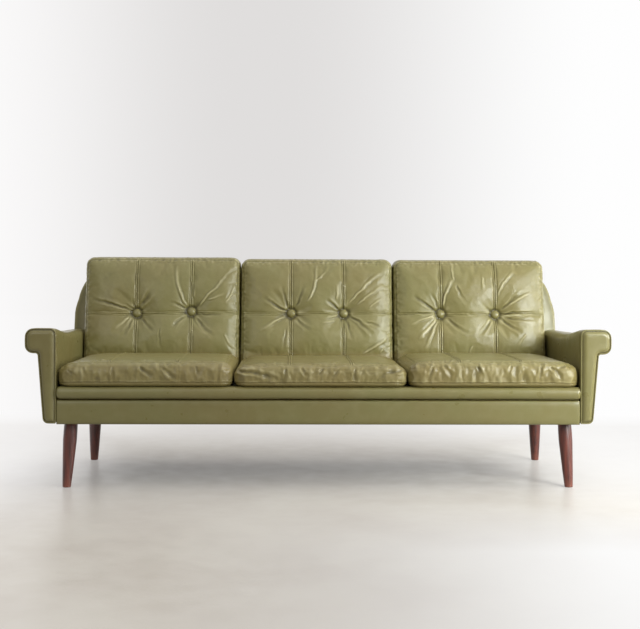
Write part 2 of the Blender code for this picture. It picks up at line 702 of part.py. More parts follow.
def build_seat_cushions():
    """Boxed cushions with a crowned top and soft round front corners."""
    front = FRONT_Y + SEAT_CUSHION_SETBACK + SEAT_CUSHION_BULGE
    depth = seat_cushion_rear() - SEAT_CUSHION_BULGE - front
    radii = (SEAT_CUSHION_CORNER, SEAT_CUSHION_CORNER, SEAT_CUSHION_EDGE)
    bays = cushion_bays(SEAT_CUSHION_WIDTHS)
    for name, (low_x, high_x), height in zip(CUSHION_NAMES, bays, SEAT_CUSHION_HEIGHTS):
        width = high_x - low_x - 2 * SEAT_CUSHION_BULGE
        size = Vector((width, depth, height))

        def puff(p, size=size):
            u, v, w = (2 * p[i] / size[i] for i in range(3))
            crown = (1 - abs(u) ** 3) * (1 - abs(v) ** 3) * max(w, 0)
            bulge = SEAT_CUSHION_BULGE * (1 - w * w)
            return p + Vector((bulge * u**5, bulge * v**5, SEAT_CUSHION_CROWN * crown))

        across = [width * share for share in (-0.333, -0.167, 0, 0.167, 0.333)]
        along = [depth * share for share in (-0.30, -0.10, 0.10, 0.30)]
        points, faces = rounded_box(size, radii, (across, along, [0]), puff)
        middle = Vector(((low_x + high_x) / 2, front + depth / 2, CUSHION_FLOOR + height / 2))
        add_solid(f"seat_cushion_{name}", [p + middle for p in points], faces, LEATHER, middle, 180)


def tuft(x, z, buttons):
    """How far the cushion's face is drawn in by its buttons, and along the seams through them."""
    pull = 0.0
    valley = 0.0
    for button_x, button_z in buttons:
        pull = max(pull, math.exp(-math.hypot(x - button_x, z - button_z) / TUFT_REACH))
        nearest_seam = min(abs(x - button_x), abs(z - button_z))
        valley = max(valley, math.exp(-nearest_seam / SEAM_REACH))
    return TUFT_DEPTH * pull + SEAM_VALLEY * valley * (1 - pull)


def disc_rings(profile, centre_x, centre_z, middle_y, sides=16):
    """Upright circles (radius, local y) about a button's place, leaning with its cushion."""
    rings = []
    for radius, y in profile:
        ring = []
        for k in range(sides):
            turn = 2 * math.pi * k / sides
            z = centre_z + radius * math.sin(turn)
            ring.append((centre_x + radius * math.cos(turn), middle_y(z) + y, z))
        rings.append(ring)
    return rings


def cushion_face(size, buttons):
    """The front of a back cushion, as a local Y for each place (x, z) from its middle."""

    def face_y(x, z):
        crown = (1 - abs(2 * x / size[0]) ** 3) * (1 - abs(2 * z / size[2]) ** 3)
        drawn_in = tuft(x, z, buttons) * min(1, 3 * crown)
        return -size[1] / 2 - BACK_CUSHION_CROWN * crown + drawn_in

    return face_y


def build_back_cushions():
    """Boxed cushions that lean on the back, each drawn in by two buttons sunk into its face."""
    half_depth = BACK_CUSHION_THICKNESS / 2
    radii = (BACK_CUSHION_CORNER, BACK_CUSHION_EDGE, BACK_CUSHION_CORNER)
    button_number = 0

    def middle_y(z):
        return back_plane(z) - TOUCH_GAP - half_depth

    widths = [width - trim for width, trim in zip(SEAT_CUSHION_WIDTHS, BACK_CUSHION_TRIMS)]
    bays = cushion_bays(widths)
    for name, bay, height, places in zip(CUSHION_NAMES, bays, BACK_CUSHION_HEIGHTS, BUTTON_PLACES):
        width = bay[1] - bay[0]
        middle_x = sum(bay) / 2
        middle_z = CUSHION_FLOOR + height / 2
        buttons = [(x, z - height / 2) for x, z in places]
        size = (width, BACK_CUSHION_THICKNESS, height)
        face_y = cushion_face(size, buttons)

        def puff(p, face_y=face_y):
            front = max(-p[1] / half_depth, 0)
            shift = (face_y(p[0], p[2]) + half_depth) * front**3
            return Vector((p[0], p[1] + shift, p[2]))

        beside = (-2 * BUTTON_RADIUS, 0, 2 * BUTTON_RADIUS)
        across = sorted([x + step for x, _ in buttons for step in beside] + [0])
        across = [-width * 0.39, -width * 0.30] + across + [width * 0.30, width * 0.39]
        level = buttons[0][1]
        upright = [level + step for step in (-0.170, -0.130, -0.080, *beside, 0.080, 0.130, 0.165)]
        points, faces = rounded_box(size, radii, (across, [0], upright), puff)
        placed = [(middle_x + p[0], middle_y(middle_z + p[2]) + p[1], middle_z + p[2]) for p in points]
        origin = (middle_x, middle_y(CUSHION_FLOOR), CUSHION_FLOOR)
        cushion = add_solid(f"back_cushion_{name}", placed, faces, LEATHER, origin, 180)

        for button_x, button_z in buttons:
            button_number += 1
            where = (middle_x + button_x, middle_z + button_z, middle_y)
            floor_y = face_y(button_x, button_z) + BUTTON_SINK
            well = BUTTON_RADIUS + BUTTON_CLEARANCE
            points, faces = skin_rings(disc_rings([(well, floor_y - 0.2), (well, floor_y)], *where))
            cut_away(cushion, add_solid(f"cutter_button_{button_number}", points, faces, LEATHER))
            dome = []
            for share in (0, 0.25, 0.5, 0.75, 0.93):
                round_off = math.sqrt(1 - share**2.4)
                dome.append((BUTTON_RADIUS * round_off, floor_y - TOUCH_GAP - BUTTON_HEIGHT * share))
            points, faces = skin_rings(disc_rings(dome, *where))
            add_solid(f"button_{button_number}", points, faces, BUTTON_LEATHER, points[0])


def build_legs(dust_cover):
    """Four turned legs, each screwed up into its corner block on a steel stud."""
    top = BODY_BOTTOM
    hole = STUD_RADIUS + TOUCH_GAP
    stud_low = top - STUD_REACH_DOWN
    stud_high = top + STUD_REACH_UP
    for name, *leg in leg_tops():
        shares = [0.02, 0.16, 0.32, 0.50, LEG_WIDEST_SHARE, 0.88, 1.0]
        profile = [(0, LEG_FOOT_RADIUS - LEG_FOOT_EASING)]
        profile += [(top * share, leg_radius(share)) for share in shares]
        profile += [(top, hole), (stud_low - TOUCH_GAP, hole)]
        points, faces = skin_rings(turned_rings(leg, profile))
        add_solid(f"leg_{name}", points, faces, LEG_WOOD, leg_axis(*leg, top))
        points, faces = skin_rings(turned_rings(leg, [(stud_low, STUD_RADIUS), (stud_high, STUD_RADIUS)], 12))
        add_solid(f"leg_stud_{name}", points, faces, STEEL, leg_axis(*leg, top))
        drill = [(top - 0.001, hole), (stud_high + TOUCH_GAP, hole)]
        points, faces = skin_rings(turned_rings(leg, drill, 12))
        cutter = add_solid(f"cutter_stud_{name}", points, faces, STEEL)
        cut_away(bpy.data.objects[f"corner_block_{name}"], cutter)
        cut_away(dust_cover, cutter)


build_seat_frame()
build_back_frame()
build_webbing()
sheet_under_seat = build_seat_covers()
for side_name, side_sign in SIDES.items():
    build_arm(side_name, side_sign)
build_back_covers()
build_seat_cushions()
build_back_cushions()
build_legs(sheet_under_seat)
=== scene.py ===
import math

import bpy
import numpy as np
from mathutils import Matrix, Vector, noise


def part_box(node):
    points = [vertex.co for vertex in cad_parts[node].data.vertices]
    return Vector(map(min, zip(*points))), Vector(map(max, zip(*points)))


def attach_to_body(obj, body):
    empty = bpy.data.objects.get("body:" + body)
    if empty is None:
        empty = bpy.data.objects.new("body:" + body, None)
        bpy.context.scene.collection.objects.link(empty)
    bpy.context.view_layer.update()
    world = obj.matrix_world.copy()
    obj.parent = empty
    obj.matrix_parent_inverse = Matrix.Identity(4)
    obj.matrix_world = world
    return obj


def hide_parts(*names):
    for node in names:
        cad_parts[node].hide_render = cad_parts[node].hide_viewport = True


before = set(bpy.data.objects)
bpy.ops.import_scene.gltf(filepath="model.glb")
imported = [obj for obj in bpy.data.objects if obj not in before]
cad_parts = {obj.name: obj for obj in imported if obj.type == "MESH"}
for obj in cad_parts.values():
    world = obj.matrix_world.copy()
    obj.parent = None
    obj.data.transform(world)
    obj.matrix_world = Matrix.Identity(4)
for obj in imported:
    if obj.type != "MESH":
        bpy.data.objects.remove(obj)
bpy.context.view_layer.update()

bpy.ops.object.select_all(action="DESELECT")


# Timber frame
# Sawn beech rails, posts, arm boards and corner blocks, glued and dowelled, wholly inside the
# upholstery. The wood is left as it came from the saw: pale, straight grained and dry.
BEECH_PALE = "#CDAE84"
BEECH_DARK = "#A98359"
BEECH_FLECK = "#8F6B48"
GRAIN_LENGTH = 0.160
GRAIN_WIDTH = 0.0035
BOARDS_BY_GRAIN = {
    "x": ("front_rail", "back_rail", "back_top_rail", "corner_block"),
    "y": ("side_rail", "cross_rail", "arm_board"),
    "z": ("back_post",),
}


def paint(hex_colour):
    """A colour written in sRGB hex, as the linear colour that a shader takes."""
    shares = [int(hex_colour[i:i + 2], 16) / 255 for i in (1, 3, 5)]
    return [c / 12.92 if c <= 0.04045 else ((c + 0.055) / 1.055) ** 2.4 for c in shares] + [1.0]


def add_node(tree, kind, sockets=(), output=0, **settings):
    """Adds a shader node and gives one of its outputs. A socket takes a value or such an output."""
    node = tree.nodes.new("ShaderNode" + kind)
    for name, value in settings.items():
        setattr(node, name, value)
    for name, value in dict(sockets).items():
        if isinstance(value, bpy.types.NodeSocket):
            tree.links.new(value, node.inputs[name])
        else:
            node.inputs[name].default_value = value
    return node.outputs[output]


def new_material(name):
    """A new material, its tree and Principled shader, and where each point lies, in metres."""
    material = bpy.data.materials.new(name)
    material.use_nodes = True
    tree = material.node_tree
    return material, tree, tree.nodes["Principled BSDF"], add_node(tree, "TexCoord", output="Object")


def wash(tree, colour, layers):
    """A colour with others laid over it.

    A layer is a pattern, its value where the layer starts and where it is full, the full
    layer's share, and its colour.
    """
    for pattern, start, full, share, hex_colour in layers:
        cover = add_node(tree, "MapRange", {0: pattern, 1: start, 2: full, 4: share})
        colour = add_node(tree, "Mix", {0: cover, 6: colour, 7: paint(hex_colour)}, 2, data_type="RGBA")
    return colour


def set_finish(tree, shader, colour, rough, bumps):
    """Links a finish: its colour, its roughness, and its bumps laid one on another.

    Rough is a pattern, two of its values and the roughness at each. A bump is a height from 0
    to 1 and its full depth in metres.
    """
    tree.links.new(colour, shader.inputs["Base Color"])
    tree.links.new(add_node(tree, "MapRange", dict(enumerate(rough))), shader.inputs["Roughness"])
    normal = None
    for height, depth in bumps:
        sockets = {"Height": height, "Distance": depth, "Strength": 1.0}
        if normal is not None:
            sockets["Normal"] = normal
        normal = add_node(tree, "Bump", sockets)
        tree.links.new(normal, shader.inputs["Normal"])


def dress(piece, material):
    """Gives a piece one material all over."""
    piece.data.materials.clear()
    piece.data.materials.append(material)


def dress_solids(starts, material):
    """Gives a material to each solid whose name starts in one of these ways."""
    for name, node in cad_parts.items():
        if name.startswith(starts):
            dress(node, material)


def sawn_beech(axis):
    """Sawn beech: pale, in long streaks with short dark flecks along the grain, no varnish."""
    beech, tree, shader, place = new_material(f"sawn_beech_along_{axis}")
    stretch = [1 / GRAIN_LENGTH if axis == a else 1 / GRAIN_WIDTH for a in "xyz"]
    along = add_node(tree, "Mapping", {"Vector": place, "Scale": stretch})
    streak = add_node(tree, "TexNoise", {"Vector": along, "Scale": 0.3, "Detail": 4})
    fleck = add_node(tree, "TexNoise", {"Vector": along, "Scale": 2.2, "Detail": 1})
    layers = [(streak, 0.3, 0.7, 1.0, BEECH_DARK), (fleck, 0.66, 0.74, 0.6, BEECH_FLECK)]
    wood = wash(tree, paint(BEECH_PALE), layers)
    set_finish(tree, shader, wood, (streak, 0.2, 0.8, 0.62, 0.78), [(streak, 0.0005)])
    return beech


for axis, boards in BOARDS_BY_GRAIN.items():
    dress_solids(boards, sawn_beech(axis))


# Webbing
# Rubber webbing 50 mm wide: two plies of rubber over crossed cords, stretched over the frame
# and stapled at both ends. It is dull, dark brown and pressed with a fine diagonal rib.
WEBBING_DARK = "#2C2620"
WEBBING_DUSTY = "#4B4238"
WEBBING_RIB = 0.0025
WAVE_REPEAT = 0.314

webbing, tree, shader, place = new_material("corded_rubber_webbing")
turned = add_node(tree, "Mapping", {"Vector": place, "Rotation": (0.6, 0.6, 0.785)})
rib = add_node(tree, "TexWave", {"Vector": turned, "Scale": WAVE_REPEAT / WEBBING_RIB}, "Fac")
dust = add_node(tree, "TexNoise", {"Vector": place, "Scale": 30, "Detail": 3})
rubber = wash(tree, paint(WEBBING_DARK), [(dust, 0.4, 0.7, 1.0, WEBBING_DUSTY)])
set_finish(tree, shader, rubber, (dust, 0.3, 0.7, 0.68, 0.85), [(rib, 0.0004)])
dress_solids(("seat_strap", "back_strap"), webbing)


# Leg studs
# Zinc plated hanger bolts that screw each leg to its corner block. The plating is bright grey
# with a faint cloudy bloom.
ZINC_BRIGHT = "#B9BCBE"
ZINC_BLOOM = "#8D9296"

zinc, tree, shader, place = new_material("zinc_plated_steel")
bloom = add_node(tree, "TexNoise", {"Vector": place, "Scale": 400, "Detail": 2})
plating = wash(tree, paint(ZINC_BRIGHT), [(bloom, 0.35, 0.7, 1.0, ZINC_BLOOM)])
set_finish(tree, shader, plating, (bloom, 0.3, 0.7, 0.28, 0.42), [])
shader.inputs["Metallic"].default_value = 1.0
dress_solids("leg_stud", zinc)


# Legs
# Turned hardwood legs, widest below the top and tapering to the foot, splayed outwards and
# stained red-brown under a satin varnish that has worn a little pale at the foot.
LEG_WOOD_RED = "#703527"
LEG_WOOD_DARK = "#3C1C15"
LEG_WOOD_WORN = "#925641"
LEG_SIDES = 48
LEG_WORN_UP_TO = 0.035
LEG_PROFILE = [
    (0.000, 0.0132), (0.006, 0.0146), (0.020, 0.0150), (0.250, 0.0185), (0.500, 0.0217),
    (0.720, 0.0243), (0.860, 0.0242), (0.960, 0.0236), (1.000, 0.0232),
]
FEET = {"front": (0.8865, -0.3457), "back": (0.8815, 0.2341)}
TOP_BEHIND_FOOT = {"front": 0.033, "back": -0.033}
TOP_INSIDE_FOOT = 0.009


def name_piece(name):
    """Names the new object that the last operator made, and its mesh."""
    piece = bpy.context.object
    piece.name = piece.data.name = name
    return piece


def select_only(piece):
    """Selects one piece alone and makes it the active one."""
    bpy.ops.object.select_all(action="DESELECT")
    piece.select_set(True)
    bpy.context.view_layer.objects.active = piece


def choose(piece, wanted, kind="vertices"):
    """Selects the vertices, edges or faces of a piece that are wanted, and nothing else."""
    bpy.ops.object.mode_set(mode="OBJECT")
    mesh = piece.data
    for part in (mesh.vertices, mesh.edges, mesh.polygons):
        part.foreach_set("select", [False] * len(part))
    chosen = mesh.polygons if kind == "faces" else getattr(mesh, kind)
    chosen.foreach_set("select", [bool(wanted(item)) for item in chosen])
    bpy.ops.object.mode_set(mode="EDIT")
    bpy.ops.mesh.select_mode(type={"vertices": "VERT", "edges": "EDGE", "faces": "FACE"}[kind])


def finish_mesh(piece, smooth_degrees=60):
    """Turns the faces outwards, smooths the shading and leaves edit mode."""
    bpy.ops.object.mode_set(mode="EDIT")
    bpy.ops.mesh.select_all(action="SELECT")
    bpy.ops.mesh.normals_make_consistent(inside=False)
    bpy.ops.object.mode_set(mode="OBJECT")
    select_only(piece)
    bpy.ops.object.transform_apply(location=True, rotation=True, scale=True)
    bpy.ops.object.shade_smooth_by_angle(angle=math.radians(smooth_degrees))
    piece.select_set(False)


def attach(piece, material, slot, *stands_for):
    """Gives a finished piece its material and its body, and hides the solids it stands for. Slot is not used.
    """
    dress(piece, material)
    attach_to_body(piece, "root")
    if stands_for:
        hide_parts(*stands_for)


leg_wood, tree, shader, place = new_material("stained_hardwood_satin_varnish")
along = add_node(tree, "Mapping", {"Vector": place, "Scale": (260, 260, 9)})
streak = add_node(tree, "TexNoise", {"Vector": along, "Scale": 0.35, "Detail": 5})
pores = add_node(tree, "TexNoise", {"Vector": along, "Scale": 3.5, "Detail": 1})
height = add_node(tree, "SeparateXYZ", {0: place}, "Z")
stain = wash(tree, paint(LEG_WOOD_DARK), [
    (streak, 0.32, 0.68, 1.0, LEG_WOOD_RED),
    (pores, 0.60, 0.72, 0.5, LEG_WOOD_DARK),
    (height, LEG_WORN_UP_TO, 0.0, 0.45, LEG_WOOD_WORN),
])
set_finish(tree, shader, stain, (streak, 0.3, 0.7, 0.30, 0.42), [(pores, 0.0002)])
shader.inputs["Coat Weight"].default_value = 0.25
shader.inputs["Coat Roughness"].default_value = 0.22

leg_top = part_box("leg_front_right")[1].z
for name in [f"leg_{end}_{side}" for end in ("front", "back") for side in ("right", "left")]:
    _, end, side = name.split("_")
    sign = 1 if side == "right" else -1
    foot_x, foot_y = FEET[end]
    foot = Vector((sign * foot_x, foot_y, 0))
    top = foot + Vector((-sign * TOP_INSIDE_FOOT, TOP_BEHIND_FOOT[end], leg_top))
    radius = LEG_PROFILE[0][1]
    bpy.ops.mesh.primitive_circle_add(vertices=LEG_SIDES, radius=radius, fill_type="NGON", location=foot)
    leg = name_piece(f"turned_{name}")
    bpy.ops.object.mode_set(mode="EDIT")
    bpy.ops.mesh.select_all(action="SELECT")
    for (low_share, low_radius), (share, radius) in zip(LEG_PROFILE, LEG_PROFILE[1:]):
        step = (top - foot) * (share - low_share)
        bpy.ops.mesh.extrude_region_move(TRANSFORM_OT_translate={"value": step})
        grow = radius / low_radius
        middle = foot + (top - foot) * share
        bpy.ops.transform.resize(value=(grow, grow, 1), center_override=middle)
    finish_mesh(leg, 35)
    attach(leg, leg_wood, "leg_wood", name)


# Dust cover
# Thin black cambric stapled under the frame to close it from below. It was pulled tight by
# hand, so it hangs a few millimetres in the middle and puckers a little at its edges.
CAMBRIC_BLACK = "#1B1B1A"
CAMBRIC_DUSTY = "#34322E"
CAMBRIC_THREAD = 0.0012
CAMBRIC_THICK = 0.0006
CAMBRIC_GAP = 0.0002
CAMBRIC_SAG = 0.0035
CAMBRIC_PUCKER = 0.0007
CAMBRIC_COLUMNS = 60
CAMBRIC_ROWS = 24


def points_of(piece):
    """A piece's points as rows of X, Y and Z."""
    points = np.empty(len(piece.data.vertices) * 3)
    piece.data.vertices.foreach_get("co", points)
    return points.reshape(-1, 3)


def move_points(piece, points):
    """Puts a piece's points at new places."""
    piece.data.vertices.foreach_set("co", points.ravel())
    piece.data.update()


def apply_modifiers(piece):
    """Applies all of a piece's modifiers, in their order."""
    select_only(piece)
    for name in [modifier.name for modifier in piece.modifiers]:
        bpy.ops.object.modifier_apply(modifier=name)


def ripple(points, size, seed=0.0):
    """Smooth noise from about -1 to 1 at each point, with lumps about size metres wide."""
    places = points / size + seed
    return np.array([noise.noise(Vector(p)) for p in places.tolist()])


def woven(name, light, dark, thread, rough):
    """A plain weave: two waves of thread at right angles, with loose dust in it."""
    cloth, tree, shader, place = new_material(name)
    threads = {"Vector": place, "Scale": WAVE_REPEAT / thread, "Distortion": 0.4}
    warp, weft = [add_node(tree, "TexWave", threads, "Fac", bands_direction=axis) for axis in "XY"]
    weave = add_node(tree, "Math", {0: warp, 1: weft}, operation="MAXIMUM")
    dust = add_node(tree, "TexNoise", {"Vector": place, "Scale": 14, "Detail": 4})
    colour = wash(tree, paint(dark), [(dust, 0.35, 0.7, 1.0, light), (weave, 0.6, 0.0, 0.35, dark)])
    set_finish(tree, shader, colour, (dust, 0.3, 0.7, rough, rough + 0.08), [(weave, thread / 4)])
    shader.inputs["Sheen Weight"].default_value = 0.15
    return cloth


low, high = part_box("dust_cover")
middle, size = (low + high) / 2, high - low
bpy.ops.mesh.primitive_grid_add(x_subdivisions=CAMBRIC_COLUMNS, y_subdivisions=CAMBRIC_ROWS, size=1)
cambric = name_piece("cambric_dust_cover")
points = points_of(cambric)
across, back = 2 * points[:, 0], 2 * points[:, 1]
rim = (1 - across ** 2) * (1 - back ** 2)
points = points * np.array(size) + np.array(middle)
points[:, 2] = high.z - CAMBRIC_GAP - CAMBRIC_SAG * rim ** 0.6
points[:, 2] -= CAMBRIC_PUCKER * (1 + ripple(points, 0.06)) * np.clip(rim * 4, 0, 1)
move_points(cambric, points)
finish_mesh(cambric)
thickness = cambric.modifiers.new("cloth_thickness", "SOLIDIFY")
thickness.thickness = CAMBRIC_THICK
thickness.offset = 1
apply_modifiers(cambric)
black_cambric = woven("black_cambric", CAMBRIC_DUSTY, CAMBRIC_BLACK, CAMBRIC_THREAD, 0.86)
attach(cambric, black_cambric, "dust_cambric", "dust_cover")


# Seat deck
# A thin quilt of felt under olive canvas, laid over the webbing and tacked down behind the
# front lip. The seat cushions hide it. It is softly dished between the straps.
CANVAS_LIGHT = "#7B7656"
CANVAS_DARK = "#57533A"
CANVAS_THREAD = 0.0016
DECK_ROUND = 0.010
DECK_DISH = 0.006
DECK_DISHES = 6
DECK_REAR_SLANT = 0.0085


def subdivide_along(piece, axis, cuts):
    """Cuts every edge that runs along one axis into equal lengths."""
    points = points_of(piece)

    def runs(edge):
        step = abs(points[edge.vertices[1]] - points[edge.vertices[0]])
        return step[axis] > 0.9 * np.linalg.norm(step) and step[axis] > 0.02

    choose(piece, runs, "edges")
    bpy.ops.mesh.subdivide(number_cuts=cuts)
    bpy.ops.object.mode_set(mode="OBJECT")


def add_block(name, low, high):
    """A cube primitive scaled to a box, ready to be shaped."""
    bpy.ops.mesh.primitive_cube_add(size=1, location=(Vector(low) + Vector(high)) / 2)
    block = name_piece(name)
    block.scale = Vector(high) - Vector(low)
    bpy.ops.object.transform_apply(location=True, rotation=True, scale=True)
    return block


def round_edges(piece, wanted, radius, segments):
    """Rounds the edges that are wanted."""
    choose(piece, wanted, "edges")
    bpy.ops.mesh.bevel(offset=radius, segments=segments, affect="EDGES")
    bpy.ops.object.mode_set(mode="OBJECT")


def edges_at(piece, axis, place):
    """A test for the edges that lie at one place along an axis."""
    return lambda edge: all(abs(piece.data.vertices[v].co[axis] - place) < 1e-4 for v in edge.vertices)


low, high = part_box("seat_deck")
deck = add_block("canvas_seat_deck", low, high)
round_edges(deck, edges_at(deck, 2, high.z), DECK_ROUND, 3)
subdivide_along(deck, 0, 48)
subdivide_along(deck, 1, 16)
points = points_of(deck)
across = np.clip((points[:, 0] - low.x) / (high.x - low.x), 0, 1)
back = np.clip((points[:, 1] - low.y) / (high.y - low.y), 0, 1)
level = (points[:, 2] - low.z) / (high.z - low.z)
points[:, 2] -= DECK_DISH * np.sin(DECK_DISHES * math.pi * across) ** 2 * np.sin(math.pi * back) * level
behind = high.y - points[:, 1] < 1e-4
points[behind, 1] -= (1 - level[behind]) * DECK_REAR_SLANT
move_points(deck, points)
finish_mesh(deck, 50)
olive_canvas = woven("olive_canvas", CANVAS_LIGHT, CANVAS_DARK, CANVAS_THREAD, 0.88)
attach(deck, olive_canvas, "deck_canvas", "seat_deck")


# Inside back
# A padded leather tray over the posts and the webbing, with round shoulders. It shows as a
# smooth wing beside each outer cushion, its leather pulled taut over a soft edge.
OLIVE_MAIN = "#7B7547"
OLIVE_BROWN = "#7B683B"
OLIVE_LIGHT = "#938D64"
OLIVE_DEEP = "#474123"
OLIVE_PAINTED_HIGHLIGHT = "#B9B189"
GRAIN_PEBBLE = 0.0016
HIDE_PATCH = 0.22
SEAT_FRONT_SPAN = (0.446, 0.425)
LEAN_DEGREES = 11
LEAN = math.tan(math.radians(LEAN_DEGREES))
LEATHER_GAP = 0.0003
BACK_SHOULDER = 0.185
TRAY_DEPTH = 0.0583
TRAY_WALL = 0.014
TRAY_PAD = 0.018
TRAY_EDGE = 0.006
TRAY_PUFF = [(0.003, 0.0005), (0.004, 0.001), (0.007, 0.0025), (0.012, 0.003), (0.020, 0.003), (0.030, 0.001)]
WING_FROM = 0.85
WING_FULL_IN = 0.08
WING_OUT = [(0.50, 0.003), (0.57, 0.000), (0.636, -0.006), (0.68, 0.001), (0.717, 0.010), (0.77, 0.006)]
# Painted highlight and painted shade across the wing, by distance from its outer edge.
WING_HIGHLIGHT_AND_SHADE = [(0.0, -0.5), (0.006, -0.3), (0.013, 0.40), (0.026, 0.15), (0.046, -0.25), (0.080, 0.0)]


def leather(name, rough, pebbled, crumpled, mottle, browned=0.0, painted_shade=0.0):
    """Worn semi-gloss olive hide: pebbled grain, soft wrinkles, browned patches, and folds with painted shade
    and highlights.

    The crease attribute is above 0 in fold valleys, darkened as painted shade, and below 0 on
    ridges, lightened as a painted highlight. Browned is how much browner the hide is made on the seats'
    fronts, by its height.
    """
    hide, tree, shader, place = new_material(name)
    broad = add_node(tree, "TexNoise", {"Vector": place, "Scale": 1 / HIDE_PATCH, "Detail": 3})
    small = add_node(tree, "TexNoise", {"Vector": place, "Scale": 26, "Detail": 5})
    speck = add_node(tree, "TexNoise", {"Vector": place, "Scale": 170, "Detail": 2})
    wrinkle = add_node(tree, "TexNoise", {"Vector": place, "Scale": 60, "Detail": 3, "Distortion": 0.4})
    pebble = add_node(tree, "TexVoronoi", {"Vector": place, "Scale": 1 / GRAIN_PEBBLE})
    level = add_node(tree, "SeparateXYZ", {0: place}, "Z")
    fold = add_node(tree, "Attribute", output="Fac", attribute_name="crease")
    colour = wash(tree, paint(OLIVE_MAIN), [
        (broad, 0.40, 0.66, 0.55 * mottle, OLIVE_BROWN),
        (small, 0.45, 0.72, 0.40 * mottle, OLIVE_LIGHT),
        (level, *SEAT_FRONT_SPAN, browned, OLIVE_BROWN),
        (speck, 0.58, 0.74, 0.08 * mottle, OLIVE_DEEP),
        # Painted shade: the whole hide darkened by this share.
        (1.0, 0.0, 1.0, painted_shade, OLIVE_DEEP),
        # Painted shade in fold valleys and a painted highlight on ridges, both from the crease attribute.
        (fold, 0.05, 1.0, 0.85, OLIVE_DEEP),
        (fold, -0.15, -1.0, 0.75, OLIVE_PAINTED_HIGHLIGHT),
    ])
    gloss = (small, 0.3, 0.7, rough - 0.05, rough + 0.07)
    set_finish(tree, shader, colour, gloss, [(pebble, pebbled), (wrinkle, crumpled)])
    return hide


def outline_block(name, half_width, low_z, high_z, shoulder, depth):
    """An upright slab with two rounded top corners, its front face on Y = 0."""
    block = add_block(name, (-half_width, 0, low_z), (half_width, depth, high_z))
    on_top = edges_at(block, 2, high_z)
    sides = [edges_at(block, 0, x) for x in (-half_width, half_width)]
    round_edges(block, lambda edge: on_top(edge) and any(side(edge) for side in sides), shoulder, 16)
    return block


def arch_points(half_width, low_z, high_z, radius, steps=20, leg_steps=8):
    """X and Z along an arch: up the left side, over two round shoulders and down the right."""
    left = [(-half_width, low_z + (high_z - radius - low_z) * k / leg_steps) for k in range(leg_steps)]
    for k in range(steps + 1):
        turn = math.pi / 2 * k / steps
        left.append((-half_width + radius * (1 - math.cos(turn)), high_z - radius + radius * math.sin(turn)))
    return left + [(-x, z) for x, z in reversed(left)]


def distance_to_path(places, path):
    """How far each place lies from an open path, and how far along it, both in flat coordinates."""
    nearest = np.full(len(places), 9.0)
    along = np.zeros(len(places))
    walked = 0.0
    for start, end in zip(path, path[1:]):
        step = np.subtract(end, start)
        length = float(np.hypot(*step)) or 1e-9
        share = np.clip((places - start) @ step / length ** 2, 0, 1)
        away = np.hypot(*(places - start - share[:, None] * step).T)
        closer = away < nearest
        nearest[closer] = away[closer]
        along[closer] = walked + share[closer] * length
        walked += length
    return nearest, along / walked


def keep_creases(piece, values):
    """Keeps how deep in a fold each point lies, from -1 on a ridge, painted lighter as a highlight, to 1 in a
    valley, painted darker as shade.
    """
    crease = piece.data.attributes.get("crease") or piece.data.attributes.new("crease", "FLOAT", "POINT")
    crease.data.foreach_set("value", np.clip(values, -1, 1))


def back_plane(z):
    """Y of the inside back's leather at height z, which the cushions lean on."""
    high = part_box("inside_back")[1]
    return high.y - TRAY_DEPTH - LEATHER_GAP - (high.z - z) * LEAN


def choose_facing(piece, sign):
    """Selects the faces that look along Y, towards the rear for 1 and the front for -1."""
    choose(piece, lambda face: face.normal[1] * sign > 0.9, "faces")


def puff_up(steps, sign):
    """Insets the chosen faces step by step, and moves them out along Y."""
    for width, rise in steps:
        bpy.ops.mesh.inset(thickness=width)
        bpy.ops.transform.translate(value=(0, sign * rise, 0))
    bpy.ops.object.mode_set(mode="OBJECT")


# The taut pieces' leather is the same hide darkened all over, a painted shade.
smooth_leather = leather("olive_leather_taut_painted_shade", 0.32, 0.00006, 0.00008, 0.5, 0.0, 0.20)
low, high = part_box("inside_back")
tray = outline_block("leather_inside_back", high.x, low.z, high.z, BACK_SHOULDER, TRAY_DEPTH)
choose_facing(tray, 1)
bpy.ops.mesh.inset(thickness=TRAY_WALL)
bpy.ops.mesh.extrude_region_move(TRANSFORM_OT_translate={"value": (0, TRAY_PAD - TRAY_DEPTH, 0)})
choose_facing(tray, -1)
puff_up(TRAY_PUFF, -1)
points = points_of(tray)
at_front = points[:, 1] < 1e-4
points[np.isclose(points[:, 1], 0, atol=1e-4), 1] += TRAY_EDGE
points[:, 1] += back_plane(points[:, 2])
side = np.sign(points[:, 0])
wing = np.clip((abs(points[:, 0]) - WING_FROM) / WING_FULL_IN, 0, 1)
over = np.interp(points[:, 2], *zip(*WING_OUT)) * wing
points[:, 0] += side * over
move_points(tray, points)
drawn_out = np.stack([points[:, 0] - side * over, points[:, 2]], 1)
from_edge, _ = distance_to_path(drawn_out, arch_points(high.x, low.z, high.z, BACK_SHOULDER))
# Painted light on the wing: a lighter band along its outer edge as a painted highlight, a darker band of
# painted shade, then a lighter strip further in.
keep_creases(tray, np.interp(from_edge, *zip(*WING_HIGHLIGHT_AND_SHADE)) * at_front)
finish_mesh(tray, 50)
attach(tray, smooth_leather, "olive_leather", "inside_back")


# Outside back
# One flat leather panel that closes the back, tacked over a card strip, with a thin corded
# piping sewn in round its edge.
PIPING_RADIUS = 0.0024
PANEL_SHOULDER = BACK_SHOULDER - 0.003
PANEL_DEPTH = 0.0055
PANEL_PUFF = [(0.002, 0.0), (0.020, 0.0015), (0.060, 0.0015)]
PIPING_OUT = 0.0005
PIPING_UP = 0.003


